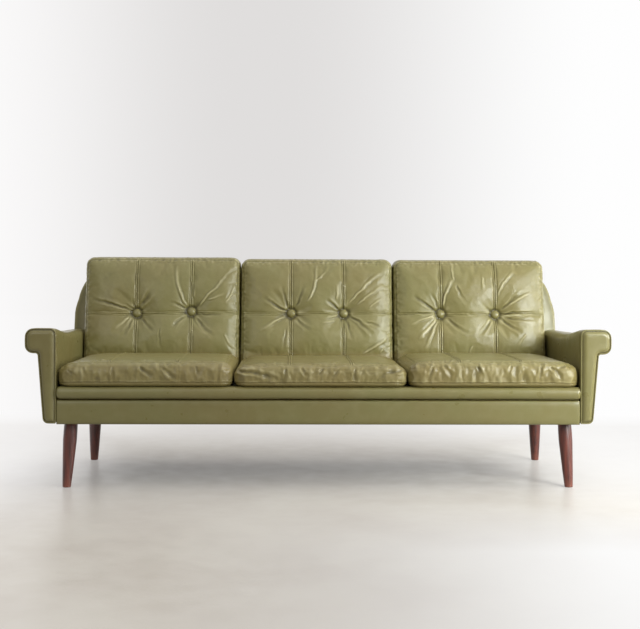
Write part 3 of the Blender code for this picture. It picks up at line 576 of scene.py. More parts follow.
def piping_round(name, loop, radius, closed=True):
    """A leather covered cord along a loop of points."""
    curve = bpy.data.curves.new(name, "CURVE")
    curve.dimensions = "3D"
    curve.bevel_depth = radius
    curve.bevel_resolution = 2
    curve.use_fill_caps = not closed
    spline = curve.splines.new("POLY")
    spline.points.add(len(loop) - 1)
    spline.points.foreach_set("co", [value for p in loop for value in (*p, 1)])
    spline.use_cyclic_u = closed
    cord = bpy.data.objects.new(name, curve)
    bpy.context.scene.collection.objects.link(cord)
    select_only(cord)
    bpy.ops.object.convert(target="MESH")
    cord = name_piece(name)
    bpy.ops.object.shade_smooth()
    attach(cord, smooth_leather, "olive_leather")


low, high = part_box("outside_back")
panel_front = high.y - LEATHER_GAP - PANEL_DEPTH
panel = outline_block("leather_outside_back", high.x, low.z, high.z, PANEL_SHOULDER, PANEL_DEPTH)
choose_facing(panel, 1)
puff_up(PANEL_PUFF, 1)
points = points_of(panel)
points[:, 1] += panel_front - (high.z - points[:, 2]) * LEAN
move_points(panel, points)
finish_mesh(panel, 40)
attach(panel, smooth_leather, "olive_leather", "outside_back")
arch = arch_points(high.x + PIPING_OUT, low.z + PIPING_UP, high.z + PIPING_OUT, PANEL_SHOULDER)
loop = [(x, panel_front - (high.z - z) * LEAN, z) for x, z in arch]
piping_round("piping_outside_back", loop, PIPING_RADIUS, closed=False)


# Arms
# A timber board padded all round and covered in one taut piece of leather, which rolls over
# the top into the scroll. The padding gives it slight dips.
ARM_VOXEL = 0.006
ARM_SOFTEN = 8
ARM_UNEVEN = 0.0012
ARM_UNEVEN_SIZE = 0.09


def normals_of(piece):
    """The direction that each of a piece's points faces."""
    normals = np.empty(len(piece.data.vertices) * 3)
    piece.data.vertex_normals.foreach_get("vector", normals)
    return normals.reshape(-1, 3)


def reskin(name, node_name, voxel, soften, uneven, uneven_size):
    """A copy of a solid, merged, given an even mesh, relaxed and made slightly uneven."""
    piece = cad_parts[node_name].copy()
    piece.data = piece.data.copy()
    for key in list(piece.keys()):
        del piece[key]
    piece.parent = None
    piece.name = piece.data.name = name
    bpy.context.scene.collection.objects.link(piece)
    piece.hide_render = False
    select_only(piece)
    bpy.ops.object.mode_set(mode="EDIT")
    bpy.ops.mesh.select_all(action="SELECT")
    bpy.ops.mesh.remove_doubles(threshold=0.0001)
    bpy.ops.object.mode_set(mode="OBJECT")
    remesh = piece.modifiers.new("even_mesh", "REMESH")
    remesh.mode = "VOXEL"
    remesh.voxel_size = voxel
    relax = piece.modifiers.new("relax", "SMOOTH")
    relax.factor = 0.5
    relax.iterations = soften
    apply_modifiers(piece)
    points = points_of(piece)
    points += normals_of(piece) * (ripple(points, uneven_size) * uneven)[:, None]
    move_points(piece, points)
    finish_mesh(piece, 180)
    return piece


for side in ("left", "right"):
    arm = reskin(f"leather_arm_{side}", f"arm_{side}", ARM_VOXEL, ARM_SOFTEN, ARM_UNEVEN, ARM_UNEVEN_SIZE)
    attach(arm, smooth_leather, "olive_leather", f"arm_{side}")


# Arm facings
# A shaped board padded with felt and covered in leather, with piping sewn round it, pressed
# on to the arm's front end over hidden tacks. Its face is gently domed.
FACING_VOXEL = 0.003
FACING_SOFTEN = 4
FACING_UNEVEN = 0.0003
FACING_UNEVEN_SIZE = 0.05
FACING_FLAT = 0.0015
FACING_DOME = 0.0080
FACING_DOME_FROM = 0.004
FACING_DOME_REACH = 0.017
FACING_SEWN_AT = 0.0036
FACING_SEWN_WIDE = 0.0018
FACING_SEWN_DEEP = 0.0012
FACING_RING_BACK = 0.00067
FACING_PIPING = 0.0022


def ring_of(node_name, y):
    """The points of a solid's ring at one Y, in their order round it."""
    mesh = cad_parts[node_name].data
    places = {}
    links = {}
    for edge in mesh.edges:
        ends = [mesh.vertices[v].co for v in edge.vertices]
        if all(abs(end.y - y) < 1e-4 for end in ends):
            keys = [(round(end.x, 4), round(end.z, 4)) for end in ends]
            for key, end, other in zip(keys, ends, reversed(keys)):
                places[key] = end.copy()
                links.setdefault(key, set()).add(other)
    start = key = min(places)
    loop = []
    previous = None
    while key not in (None, start) or not loop:
        loop.append(places[key])
        previous, key = key, next((k for k in sorted(links[key]) if k != previous and k != key), None)
    return loop


def round_off(loop, times=2):
    """Cuts the corners of a closed loop, so that its arcs turn evenly."""
    for _ in range(times):
        pairs = list(zip(loop, loop[1:] + loop[:1]))
        loop = [point for a, b in pairs for point in (a.lerp(b, 0.25), a.lerp(b, 0.75))]
    return loop


def ridge(away, wide):
    """A smooth ridge 1 high, by how far a point is from its line."""
    return np.exp(-(away / wide) ** 2)


for name in ("arm_facing_left", "arm_facing_right"):
    low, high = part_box(name)
    facing = reskin(f"leather_{name}", name, FACING_VOXEL, FACING_SOFTEN, FACING_UNEVEN, FACING_UNEVEN_SIZE)
    loop = ring_of(name, low.y + FACING_RING_BACK)
    points = points_of(facing)
    inside, _ = distance_to_path(points[:, [0, 2]], [(p.x, p.z) for p in loop + loop[:1]])
    front = points[:, 1] < low.y + FACING_FLAT
    dome = np.clip((inside - FACING_DOME_FROM) / FACING_DOME_REACH, 0, 1)
    sewn_in = ridge(inside - FACING_SEWN_AT, FACING_SEWN_WIDE) * front
    points[front, 1] -= FACING_DOME * (1 - (1 - dome[front]) ** 2.4)
    points[:, 1] += FACING_SEWN_DEEP * sewn_in
    move_points(facing, points)
    # The sewn-in groove is painted darker, a painted shade in the recess.
    keep_creases(facing, sewn_in)
    finish_mesh(facing, 180)
    attach(facing, smooth_leather, "olive_leather", name)
    piping_round(f"piping_{name}", round_off(loop), FACING_PIPING)


# Rail cover
# Leather over thin felt on the front rail, tacked under the lip and beneath the rail. It is
# stretched flat and only waves a little where the rail below is uneven.
RAIL_COVER_EDGE = 0.006
RAIL_COVER_FACE = 0.004
RAIL_COVER_WAVE = 0.0011
RAIL_COVER_PAD = 0.0035

low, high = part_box("rail_cover")
rail_cover = add_block("leather_rail_cover", low, high)
round_edges(rail_cover, edges_at(rail_cover, 1, low.y), RAIL_COVER_EDGE, 4)
subdivide_along(rail_cover, 0, 150)
subdivide_along(rail_cover, 2, 8)
points = points_of(rail_cover)
drift = ripple(points * (1, 1, 1.6), 0.13) + 0.4 * ripple(points, 0.045, 3.0)
edge = np.clip(np.minimum(points[:, 2] - low.z, high.z - points[:, 2]) / 0.02, 0, 1)
padding = RAIL_COVER_PAD * np.sin(edge * math.pi / 2)
front = points[:, 1] < low.y + RAIL_COVER_FACE
points[front, 1] += (RAIL_COVER_WAVE * drift * edge - padding)[front]
move_points(rail_cover, points)
finish_mesh(rail_cover, 40)
attach(rail_cover, smooth_leather, "olive_leather", "rail_cover")


# Front lip
# A leather roll stuffed with hair, tacked along the top of the front rail and sewn to the
# deck's canvas behind. It is drawn tight, with slight dips where the hair lies uneven.
LIP_VOXEL = 0.006
LIP_SOFTEN = 3
LIP_UNEVEN = 0.0010
LIP_UNEVEN_SIZE = 0.11

lip = reskin("leather_front_lip", "front_lip", LIP_VOXEL, LIP_SOFTEN, LIP_UNEVEN, LIP_UNEVEN_SIZE)
attach(lip, smooth_leather, "olive_leather", "front_lip")


# Seat cushions
# Loose boxed cushions of leather over soft foam. The boxing is sewn between a top and a
# bottom panel, and years of sitting have left it slack, so its front is full of folds.
PANEL_COARSE = 0.0064
PANEL_FINE = 0.0030
SEAM_BAND = 0.0074
SEAT_EDGE = 0.018
SEAT_LOW_EDGE = 0.014
SEAT_CORNER = 0.045
SEAT_CROWN = 0.007
SEAT_BULGE = 0.004
SEAT_RINGS = 15
SEAT_PRESSURE = 1.6
SEAT_SLACK = 0.006
BOXING_SLACK = 0.055
SETTLE_FRAMES = 16
SEAT_SWELL = 0.004
BOXING_SWELL = 0.012
SEAT_SEAM_IN = 0.022
SEAT_LOW_SEAM = 0.015
SEAT_DROOP = {"left": (0.015, 0.004), "middle": (0.010, 0.009), "right": (0.008, 0.014)}
SEAT_DROOP_REACH = 0.13
SEAT_SHORT_CREASES = 16
SHORT_CREASE_WIDE = 0.0038
SEAT_PITCH = 0.008
SEAT_ROLL = 1.8
SIDE_SWELL = 0.0015
FRONT_SWELL = 0.006
BUCKLE_NUDGE = 0.0006
CREASE_FULL = 0.0030
SEAT_SEAMS = {"left": (-0.125, 0.112), "middle": (-0.108, 0.110), "right": (-0.118, 0.098)}
SEAT_FOLD_STRENGTH = {"left": 1.0, "middle": 0.9, "right": 1.15}
SEAT_SEED = {"left": 3.0, "middle": 7.0, "right": 11.0}
SEAT_FOLDS = {
    "left": [
        (-215, -12, -75, 45, 20, 3.5, 6), (-20, -10, -50, 70, 25, 4.5, 7),
        (60, -12, -48, 75, 20, 4.5, 7), (-110, -10, -85, 50, -10, 3, 6), (175, -8, -70, 45, 15, 3, 5),
        (-270, -20, -40, 40, 10, 2, 5),
    ],
    "middle": [
        (-300, -8, -12, 190, -14, 6.5, 8), (296, -6, 192, 130, 12, 5, 8), (-70, -6, -60, 45, 15, 4, 6),
        (-125, -10, -85, 40, 0, 4, 6), (10, -10, 235, 45, -15, 4, 6), (65, -12, 225, 50, 10, 3.5, 6),
        (120, -10, -92, 45, 0, 3, 5),
    ],
    "right": [
        (-215, -10, 250, 50, -10, 4.5, 6), (-180, -6, -62, 55, 20, 4.5, 7),
        (165, -10, 262, 55, 8, 5, 6), (195, -10, -50, 60, 20, 4.5, 7), (60, -8, 255, 50, 5, 3.5, 6),
        (-60, -10, -70, 50, 15, 3.5, 6), (255, -4, 200, 50, 25, 3, 5),
    ],
}


def grid_lines(half, edge, seams):
    """Places of a panel's grid lines, closer over its rounded edges and along its seams."""
    places = np.linspace(-half, half, 4001)
    gap = np.full_like(places, PANEL_COARSE)
    for seam in seams:
        gap = np.where(abs(places - seam) < 0.011, PANEL_FINE, gap)
    rim = np.clip(1 - (half - abs(places)) / edge, 0, 1)
    gap *= np.maximum(np.sqrt(1 - rim ** 2), 0.12)
    passed = np.concatenate([[0], np.cumsum(np.diff(places) * 2 / (gap[1:] + gap[:-1]))])
    return np.interp(np.linspace(0, passed[-1], round(passed[-1]) + 1), passed, places)


def sew_bag(name, columns, rows, rings):
    """A closed bag: a panel of columns by rows, its boxing extruded from the rim, one face behind."""
    bpy.ops.object.select_all(action="DESELECT")
    bpy.ops.mesh.primitive_grid_add(x_subdivisions=columns, y_subdivisions=rows, size=2)
    bag = name_piece(name)
    bpy.ops.object.mode_set(mode="EDIT")
    bpy.ops.mesh.select_all(action="SELECT")
    bpy.ops.mesh.region_to_loop()
    for _ in range(rings):
        bpy.ops.mesh.extrude_region_move(TRANSFORM_OT_translate={"value": (0, 0, -1)})
    bpy.ops.mesh.edge_face_add()
    bpy.ops.object.mode_set(mode="OBJECT")
    return bag


def keep_vectors(piece, name, values):
    """Keeps a vector for each point of a piece, as a named attribute."""
    attribute = piece.data.attributes.new(name, "FLOAT_VECTOR", "POINT")
    attribute.data.foreach_set("vector", np.asarray(values, float).ravel())


def kept_vectors(piece, name):
    """The vectors kept for a piece's points."""
    values = np.empty(len(piece.data.vertices) * 3)
    piece.data.attributes[name].data.foreach_get("vector", values)
    return values.reshape(-1, 3)


def shape_bag(bag, x_lines, h_lines, corner, edges, roll, tall, rings, bulge, crown):
    """Lays out a bag: flat (x, h) with round corners, and its depth below the panel's plane.

    Keeps for each point where the leather lies when flat: x, h and depth, and how far it is
    inside the outline, which is below 0 on the boxing.
    """
    half_x, half_h = x_lines[-1], h_lines[-1]
    top_edge, low_edge = edges
    grid = points_of(bag)
    level = np.round(-grid[:, 2]).astype(int)
    x = x_lines[np.round((grid[:, 0] + 1) / 2 * (len(x_lines) - 1)).astype(int)]
    h = h_lines[np.round((grid[:, 1] + 1) / 2 * (len(h_lines) - 1)).astype(int)]
    over = np.clip(np.stack([abs(x) - half_x + corner, abs(h) - half_h + corner]) / corner, 0, 1)
    rounded = (over > 0).all(0)
    round_x, round_h = corner * over * np.sqrt(1 - over[::-1] ** 2 / 2)
    x = np.where(rounded, np.sign(x) * (half_x - corner + round_x), x)
    h = np.where(rounded, np.sign(h) * (half_h - corner + round_h), h)
    past = np.stack([abs(x) - half_x + corner, abs(h) - half_h + corner])
    reach = np.hypot(*np.maximum(past, 0))
    inside = corner - reach - np.minimum(past.max(0), 0)
    out = np.where(reach > 1e-6, np.maximum(past, 0) / np.maximum(reach, 1e-6), 0) * np.sign([x, h])
    rim = np.clip(1 - inside / (top_edge * roll), 0, 1)
    drop = top_edge * (1 - np.sqrt(1 - rim ** 2))
    low_steps = 4
    wall = tall - top_edge - low_edge
    wall_share = np.clip(level / (rings - low_steps), 0, 1)
    turn = np.clip((level - rings + low_steps) / low_steps, 0, 1) * math.pi / 2
    depth = np.where(level > 0, top_edge + wall * wall_share + low_edge * np.sin(turn), drop)
    bulging = bulge * np.sin(math.pi * np.clip(depth / tall, 0, 1)) * (level > 0)
    inset = low_edge * (1 - np.cos(turn)) - bulging
    keep_vectors(bag, "sewn_at", np.stack([x, h, np.where(level > 0, depth, drop)], 1))
    keep_vectors(bag, "rim_at", np.stack([np.where(level > 0, -depth, inside), *out], 1))
    x, h = x - out[0] * inset, h - out[1] * inset
    return x, h, depth - crown(x, h) * (level == 0)


def settle(bags, held, slack, loose, pressure, most):
    """Blows up the bags' leather from inside by a cloth simulation, without gravity, all at once.

    The foam is softer than air, so the swell is eased off towards the most that it gives.
    """
    starts = [points_of(bag) for bag in bags]
    for bag, hold, ease in zip(bags, held, loose):
        for group_name, weights in (("held", hold), ("loose", ease)):
            group = bag.vertex_groups.new(name=group_name)
            for index, weight in enumerate(weights.tolist()):
                if weight > 0.001:
                    group.add([index], weight, "REPLACE")
        cloth = bag.modifiers.new("leather", "CLOTH")
        settings = cloth.settings
        settings.quality = 6
        settings.mass = 0.3
        settings.tension_stiffness = 25
        settings.compression_stiffness = 25
        settings.bending_stiffness = 0.6
        settings.tension_damping = 15
        settings.use_pressure = True
        settings.uniform_pressure_force = pressure
        settings.vertex_group_mass = "held"
        settings.pin_stiffness = 1.0
        settings.vertex_group_shrink = "loose"
        settings.shrink_min = -slack[0]
        settings.shrink_max = -slack[1]
        settings.effector_weights.gravity = 0
    for step in range(1, SETTLE_FRAMES + 1):
        bpy.context.scene.frame_set(step)
    for bag, start, limit in zip(bags, starts, most):
        apply_modifiers(bag)
        bag.vertex_groups.clear()
        swell = points_of(bag) - start
        length = np.maximum(np.linalg.norm(swell, axis=1), 1e-9)
        move_points(bag, start + swell * (limit * np.tanh(length / limit) / length)[:, None])
    bpy.context.scene.frame_set(1)


def refine(piece):
    """One subdivision, applied, with the large face behind left out of it."""
    select_only(piece)
    choose(piece, lambda face: len(face.vertices) > 4, "faces")
    bpy.ops.mesh.delete(type="ONLY_FACE")
    bpy.ops.object.mode_set(mode="OBJECT")
    modifier = piece.modifiers.new("refine", "SUBSURF")
    modifier.levels = modifier.render_levels = 1
    apply_modifiers(piece)
    bpy.ops.object.mode_set(mode="EDIT")
    bpy.ops.mesh.select_mode(type="EDGE")
    bpy.ops.mesh.select_all(action="DESELECT")
    bpy.ops.mesh.select_non_manifold()
    bpy.ops.mesh.edge_face_add()
    bpy.ops.object.mode_set(mode="OBJECT")


def in_metres(fold, from_x=0.0, from_h=0.0):
    """A fold from a table in millimetres and degrees: x, h, heading, length, turn, depth, width."""
    x, h, heading, length, turn, deep, wide = fold
    return from_x + x / 1000, from_h + h / 1000, heading, length / 1000, turn, deep / 1000, wide / 1000


def fold_path(x, h, heading, length, turn, seed):
    """A fold's course from (x, h): it turns evenly on its way and wanders a little."""
    count = max(4, int(length / 0.008))
    wander = np.array([noise.noise(Vector((seed, k * 0.7, 0.5))) for k in range(count)])
    angle = np.radians(heading + turn * np.linspace(0, 1, count) + 28 * wander)
    step = length / count
    steps = np.stack([np.cos(angle), np.sin(angle)], 1) * step
    return np.concatenate([[(x, h)], (x, h) + np.cumsum(steps, 0)])


def fold_rise(places, folds, seed=0.0):
    """How far the leather rises at each place: a valley or a ridge with a softer line beside it."""
    rise = np.zeros(len(places))
    for number, (x, h, heading, length, turn, deep, wide) in enumerate(folds):
        path = fold_path(x, h, heading, length, turn, seed + number * 1.7)
        near = np.linalg.norm(places - path.mean(0), axis=1) < length + 4 * wide
        away, along = distance_to_path(places[near], path)
        taper = np.minimum(1, along / 0.15) * np.maximum(1 - along, 0) ** 0.7
        wide_here = wide * (0.6 + 0.6 * along)
        valley = ridge(away, wide_here)
        lips = ridge(away - 1.7 * wide_here, 0.8 * wide_here)
        rise[near] += -deep * taper * (valley - 0.45 * lips)
    return rise


def ease_in(value, start, full):
    """A value's place between two others, from 0 to 1."""
    return np.clip((value - start) / (full - start), 0, 1)


def seam_rise(away):
    """The profile across a felled seam: a groove, a raised band each side and two stitched lines."""
    band = 0.0019 * ridge(away - SEAM_BAND / 2, 0.0023)
    return band - 0.0024 * ridge(away, 0.0017) - 0.0016 * ridge(away - SEAM_BAND, 0.0015)


def edge_seam(away, deep, wide, lip, lip_at, lip_wide):
    """The profile across a seam near an edge: a sewn-in line with a soft lip on both sides."""
    away = abs(away)
    return lip * ridge(away - lip_at, lip_wide) - deep * ridge(away, wide)


def press_in(piece, rise, shown):
    """Moves each point of a piece along its normal, and keeps the folds for the leather's painted shade and
    highlights.
    """
    move_points(piece, points_of(piece) + normals_of(piece) * rise[:, None])
    keep_creases(piece, -shown / CREASE_FULL)


def crumple(points, size, seed=0.0):
    """Sharp soft-sided folds, from about -1 to 1, such as slack leather shows."""
    bent = points + 0.35 * size * np.stack([ripple(points, size * 1.3, seed + k) for k in (5.1, 9.7, 2.3)], 1)
    return 1 - 3.2 * np.abs(ripple(bent, size, seed))


def start_uneven(bag, size, where):
    """Nudges points a little before the simulation, so that the leather has a way to buckle."""
    points = points_of(bag)
    nudge = np.stack([ripple(points, size, k) for k in (1.0, 2.0, 3.0)], 1)
    move_points(bag, points + BUCKLE_NUDGE * nudge * where[:, None])


def short_creases(half_x, half_h, seed):
    """Short creases along the front of a seat's top, running back at all angles."""
    draw = np.random.default_rng(int(seed))
    creases = []
    for _ in range(SEAT_SHORT_CREASES):
        x, h = draw.uniform(-0.92, 0.92) * half_x, -half_h + draw.uniform(0.022, 0.040)
        heading, length, turn = draw.uniform(50, 130), draw.uniform(0.035, 0.085), draw.uniform(-25, 25)
        deep = draw.choice([-1, 1]) * draw.uniform(0.0015, 0.0028)
        creases.append((x, h, heading, length, turn, deep, SHORT_CREASE_WIDE))
    return creases


worn_leather = leather("olive_leather_worn", 0.35, 0.00010, 0.0003, 0.5, 0.4)
seats = []
for side in ("left", "middle", "right"):
    low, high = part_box(f"seat_cushion_{side}")
    size, middle = high - low, (low + high) / 2
    half_x, half_h = size.x / 2 - SEAT_BULGE, size.y / 2 - SEAT_BULGE
    tall = size.z - SEAT_CROWN
    x_lines = grid_lines(half_x, SEAT_EDGE * SEAT_ROLL, SEAT_SEAMS[side])
    h_lines = grid_lines(half_h, SEAT_EDGE * SEAT_ROLL, ())
    bag = sew_bag(f"leather_seat_cushion_{side}", len(x_lines) - 1, len(h_lines) - 1, SEAT_RINGS)

    def seat_crown(x, h):
        return 0.5 * SEAT_CROWN * (1 - abs(x / half_x) ** 4) * (1 - abs(h / half_h) ** 4)

    edges = (SEAT_EDGE, SEAT_LOW_EDGE)
    form = (SEAT_CORNER, edges, SEAT_ROLL, tall, SEAT_RINGS, SEAT_BULGE, seat_crown)
    x, h, depth = shape_bag(bag, x_lines, h_lines, *form)
    move_points(bag, np.stack([middle.x + x, middle.y + h, low.z + tall - depth], 1))
    seats.append((side, bag, low, high, half_x, half_h, tall))

held, loose, most = [], [], []
for side, bag, low, high, half_x, half_h, tall in seats:
    _, h, depth = kept_vectors(bag, "sewn_at").T
    inside = kept_vectors(bag, "rim_at")[:, 0]
    boxing = inside <= 0
    front = ease_in(-h, half_h - 0.09, half_h - 0.03)
    hold = np.where(boxing, 0.55 - 0.50 * front, 0.03)
    hold = np.where(abs(inside - 0.006) < 0.004, 0.35, hold)
    hold = np.where(depth > tall - SEAT_LOW_EDGE - 0.004, 0.9, hold)
    hold = np.where(depth > tall - 0.002, 1.0, hold)
    held.append(hold)
    loose.append(np.where(boxing, front, 0.0))
    most.append(np.where(boxing | (inside < 0.012), BOXING_SWELL, SEAT_SWELL))
    start_uneven(bag, 0.012, hold < 0.5)
settle([seat[1] for seat in seats], held, (SEAT_SLACK, BOXING_SLACK), loose, SEAT_PRESSURE, most)

for side, bag, low, high, half_x, half_h, tall in seats:
    refine(bag)
    sewn = kept_vectors(bag, "sewn_at")
    x, h, depth = sewn.T
    inside = kept_vectors(bag, "rim_at")[:, 0]
    strength, seed = SEAT_FOLD_STRENGTH[side], SEAT_SEED[side]
    on_top = inside > 0
    within_seam = on_top * ease_in(inside, SEAT_SEAM_IN, SEAT_SEAM_IN + 0.006)
    front = ease_in(-h, half_h - 0.05, half_h - 0.01)
    boxing = ease_in(depth, 0.0008, 0.0048) * ease_in(-depth, 0.010 - tall, 0.020 - tall)

    rise = sum(seam_rise(abs(x - seam)) for seam in SEAT_SEAMS[side]) * within_seam
    wavy = 0.0016 * ripple(sewn * (1, 1, 0), 0.030, seed) + 0.0008 * ripple(sewn * (1, 1, 0), 0.011, seed)
    top_seam = edge_seam(inside - SEAT_SEAM_IN + 2 * wavy, 0.0020, 0.0022, 0.0014, 0.0048, 0.0024)
    low_seam = edge_seam(depth - tall + SEAT_LOW_SEAM + wavy, 0.0022, 0.0018, 0.0012, 0.0050, 0.0022)
    rise += np.where(on_top, top_seam, low_seam)

    wall = np.stack([x, depth * 0.55, h * 0.5], 1)
    pucker = 1.3 * ripple(wall + seed, 0.021) + 0.5 * ripple(wall, 0.010, seed)
    pucker += 0.5 * crumple(wall, 0.030, seed)
    rise += 0.0022 * strength * pucker * boxing * (0.35 + 0.65 * front)
    near_seam = np.exp(-abs(inside - SEAT_SEAM_IN) / 0.018) * on_top
    rise += 0.0014 * strength * ripple(sewn, 0.009, seed) * near_seam
    rise += 0.0005 * crumple(sewn, 0.070, seed) * within_seam
    front_folds = [in_metres(fold) for fold in SEAT_FOLDS[side]]
    rise += fold_rise(np.stack([x, -depth], 1), front_folds, seed) * front
    rise += fold_rise(sewn[:, :2], short_creases(half_x, half_h, seed), seed) * within_seam
    rise *= np.clip((tall - depth) / 0.012, 0, 1)
    # The folds' valleys are painted darker as shade and their ridges lighter as highlights.
    press_in(bag, rise, 0.45 * rise)

    points = points_of(bag)
    level = ease_in(points[:, 2], low.z, low.z + tall)
    points[:, 2] -= SEAT_PITCH * level * ease_in(h, 0.06 - half_h, half_h)
    for end, droop in zip((-1, 1), SEAT_DROOP[side]):
        points[:, 2] -= droop * level * ease_in(end * x, half_x - SEAT_DROOP_REACH, half_x) ** 2.2
    points[:, 0] = np.clip(points[:, 0], low.x - SIDE_SWELL, high.x + SIDE_SWELL)
    points[:, 1] = np.clip(points[:, 1], low.y - FRONT_SWELL, high.y)
    points[:, 2] = np.maximum(points[:, 2], low.z)
    move_points(bag, points)
    finish_mesh(bag, 180)
    attach(bag, worn_leather, "olive_leather", f"seat_cushion_{side}")


# Back cushions
# Boxed leather cushions leaning on the inside back. Two felled seams run down each and one
# across, and two buttons tied through to the rear pull the face into deep radiating folds.
BACK_THICK = 0.125
BACK_CROWN = 0.024
BACK_CORNER = 0.034
BACK_ROUND = 0.030
BACK_REAR_ROUND = 0.022
BACK_RINGS = 12
BACK_PRESSURE = 3.0
BACK_SLACK = 0.012
BACK_SWELL = 0.024
TUFT_DEEP = 0.024
TUFT_REACH = 0.045
VALLEY_DEEP = 0.004
VALLEY_REACH = 0.016
BUTTON_HALF = 0.0175
CUSHION_GAP = 0.0004
BUTTONS_ON = {
    "left": ("button_1", "button_2"),
    "middle": ("button_3", "button_4"),
    "right": ("button_5", "button_6"),
}
BACK_SEED = {"left": 23.0, "middle": 37.0, "right": 51.0}
BACK_FOLDS = {
    "left": [
        (0, -26, 13, 156, 160, 20, 5, 5.5), (0, -12, 18, 150, 40, 5, 3, 4.5),
        (0, -4, 22, 112, 40, 0, 2.5, 4.5), (0, 18, 31, 60, 80, 0, 3, 9),
        (0, -30, -13, 212, 75, 18, -3.5, 5.5), (0, -18, -20, 245, 85, -6, 3, 6),
        (0, 94, -57, 270, 80, 0, 2.2, 4), (0, 20, -20, 320, 70, -8, 2.6, 6),
        (1, -14, 17, 124, 185, -42, -4.2, 5.5), (1, -20, 12, 154, 70, 6, 3.4, 5),
        (1, 18, 12, 48, 225, 0, -3.8, 4.5), (1, 62, 47, 22, 70, 6, -2.8, 4.5),
        (1, 10, 56, 87, 42, 0, -2.2, 4), (1, 132, 36, 42, 82, 32, -3, 4.5),
        (1, 16, -20, 310, 110, 8, 3.6, 6.5), (1, -20, -16, 222, 80, 10, 3, 6),
        (1, 30, -4, 352, 90, 6, 2.4, 5.5), (1, 130, -85, 300, 70, 20, -2.4, 4.5),
    ],
    "middle": [
        (0, -19, 9, 148, 110, -10, 5.5, 6), (0, -14, 20, 110, 95, -10, 3.4, 5.5),
        (0, 16, 30, 58, 95, 12, 3, 6), (0, 60, 44, 60, 165, 34, -3.6, 5),
        (0, 95, 127, 30, 80, 30, -2.6, 4.5), (0, -23, -9, 206, 120, 6, -3.6, 5.5),
        (0, -19, -56, 264, 90, -4, 2.8, 5), (0, 20, -18, 318, 80, 0, 3, 6.5),
        (1, -20, 17, 140, 65, -5, 4.5, 6), (1, -28, 55, 92, 65, 0, -2.8, 5),
        (1, -24, -9, 188, 45, 0, -2.8, 4.5), (1, -33, -27, 192, 60, 0, -2.8, 4.5),
        (1, 19, 39, 50, 190, -18, -4.2, 5), (1, 50, 35, 36, 135, -6, -3.2, 5),
        (1, 98, 22, 34, 70, -2, -2.6, 4.5), (1, 23, -9, 322, 120, 0, 4.2, 6),
        (1, 85, -30, 340, 75, 0, 2.8, 5), (1, 72, -158, 42, 135, -8, -3.4, 5.5),
        (1, 140, -152, 40, 35, 0, -2.4, 4.5), (1, 12, -30, 285, 80, -8, 2.8, 6),
    ],
    "right": [
        (0, -22, 14, 146, 105, -4, 4.6, 6), (0, -10, 24, 118, 60, 0, 3, 5.5),
        (0, -26, 2, 180, 140, 0, 2.8, 4.5), (0, -24, -8, 202, 105, 4, -3.4, 5),
        (0, -16, -20, 222, 110, 8, -4.2, 6), (0, -10, -28, 240, 125, 4, -4, 5.5),
        (0, 12, 26, 82, 130, -22, -4.6, 5), (0, 52, 130, 88, 85, 4, -3, 4.5),
        (0, 64, 115, 285, 70, 10, 2.8, 5.5), (0, 22, -14, 328, 110, 0, 3, 6),
        (1, 10, 74, 62, 120, -20, -4.2, 4.5), (1, 22, 20, 30, 115, 6, 3.4, 5.5),
        (1, 50, 36, 28, 115, 6, -3.2, 5), (1, 24, 4, 4, 130, 0, 3.6, 5),
        (1, 30, -3, 0, 130, 0, -3.4, 4.5), (1, 34, -10, 352, 125, 4, 3, 4.5),
        (1, 24, -16, 328, 100, -4, 4, 6), (1, -16, -20, 228, 80, 4, 3.4, 6),
        (1, -50, 150, 262, 55, 6, -2.6, 4.5), (1, 120, -75, 235, 60, 10, -2.4, 5),
        (1, -95, -120, 250, 45, 8, -2.4, 4.5),
    ],
}


backs = []
for side, button_names in BUTTONS_ON.items():
    low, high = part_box(f"back_cushion_{side}")
    size, middle = high - low, (low + high) / 2
    half_x, half_h = size.x / 2, size.z / 2
    buttons = []
    for name in button_names:
        centre = sum(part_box(name), Vector()) / 2
        buttons.append((centre.x - middle.x, centre.z - middle.z))
    x_lines = grid_lines(half_x, BACK_ROUND, [x for x, _ in buttons])
    h_lines = grid_lines(half_h, BACK_ROUND, [buttons[0][1]])
    bag = sew_bag(f"leather_back_cushion_{side}", len(x_lines) - 1, len(h_lines) - 1, BACK_RINGS)

    def back_crown(x, h):
        crown = (1 - abs(x / half_x) ** 3) * (1 - abs(h / half_h) ** 3)
        pull, valley = 0, 0
        for button_x, button_h in buttons:
            across, up = abs(x - button_x), abs(h - button_h)
            pull = np.maximum(pull, np.exp(-np.hypot(across, up) / TUFT_REACH))
            valley = np.maximum(valley, np.exp(-np.minimum(across, up) / VALLEY_REACH))
        drawn_in = TUFT_DEEP * pull + VALLEY_DEEP * valley * (1 - pull)
        return BACK_CROWN * crown - drawn_in * np.clip(3 * crown, 0, 1)

    edges = (BACK_ROUND, BACK_REAR_ROUND)
    form = (BACK_CORNER, edges, 1.0, BACK_THICK, BACK_RINGS, 0.0, back_crown)
    x, h, depth = shape_bag(bag, x_lines, h_lines, *form)
    z = middle.z + h
    y = back_plane(z) - CUSHION_GAP - BACK_THICK + depth
    move_points(bag, np.stack([middle.x + x, y, z], 1))
    backs.append((side, bag, low, high, half_h, buttons))

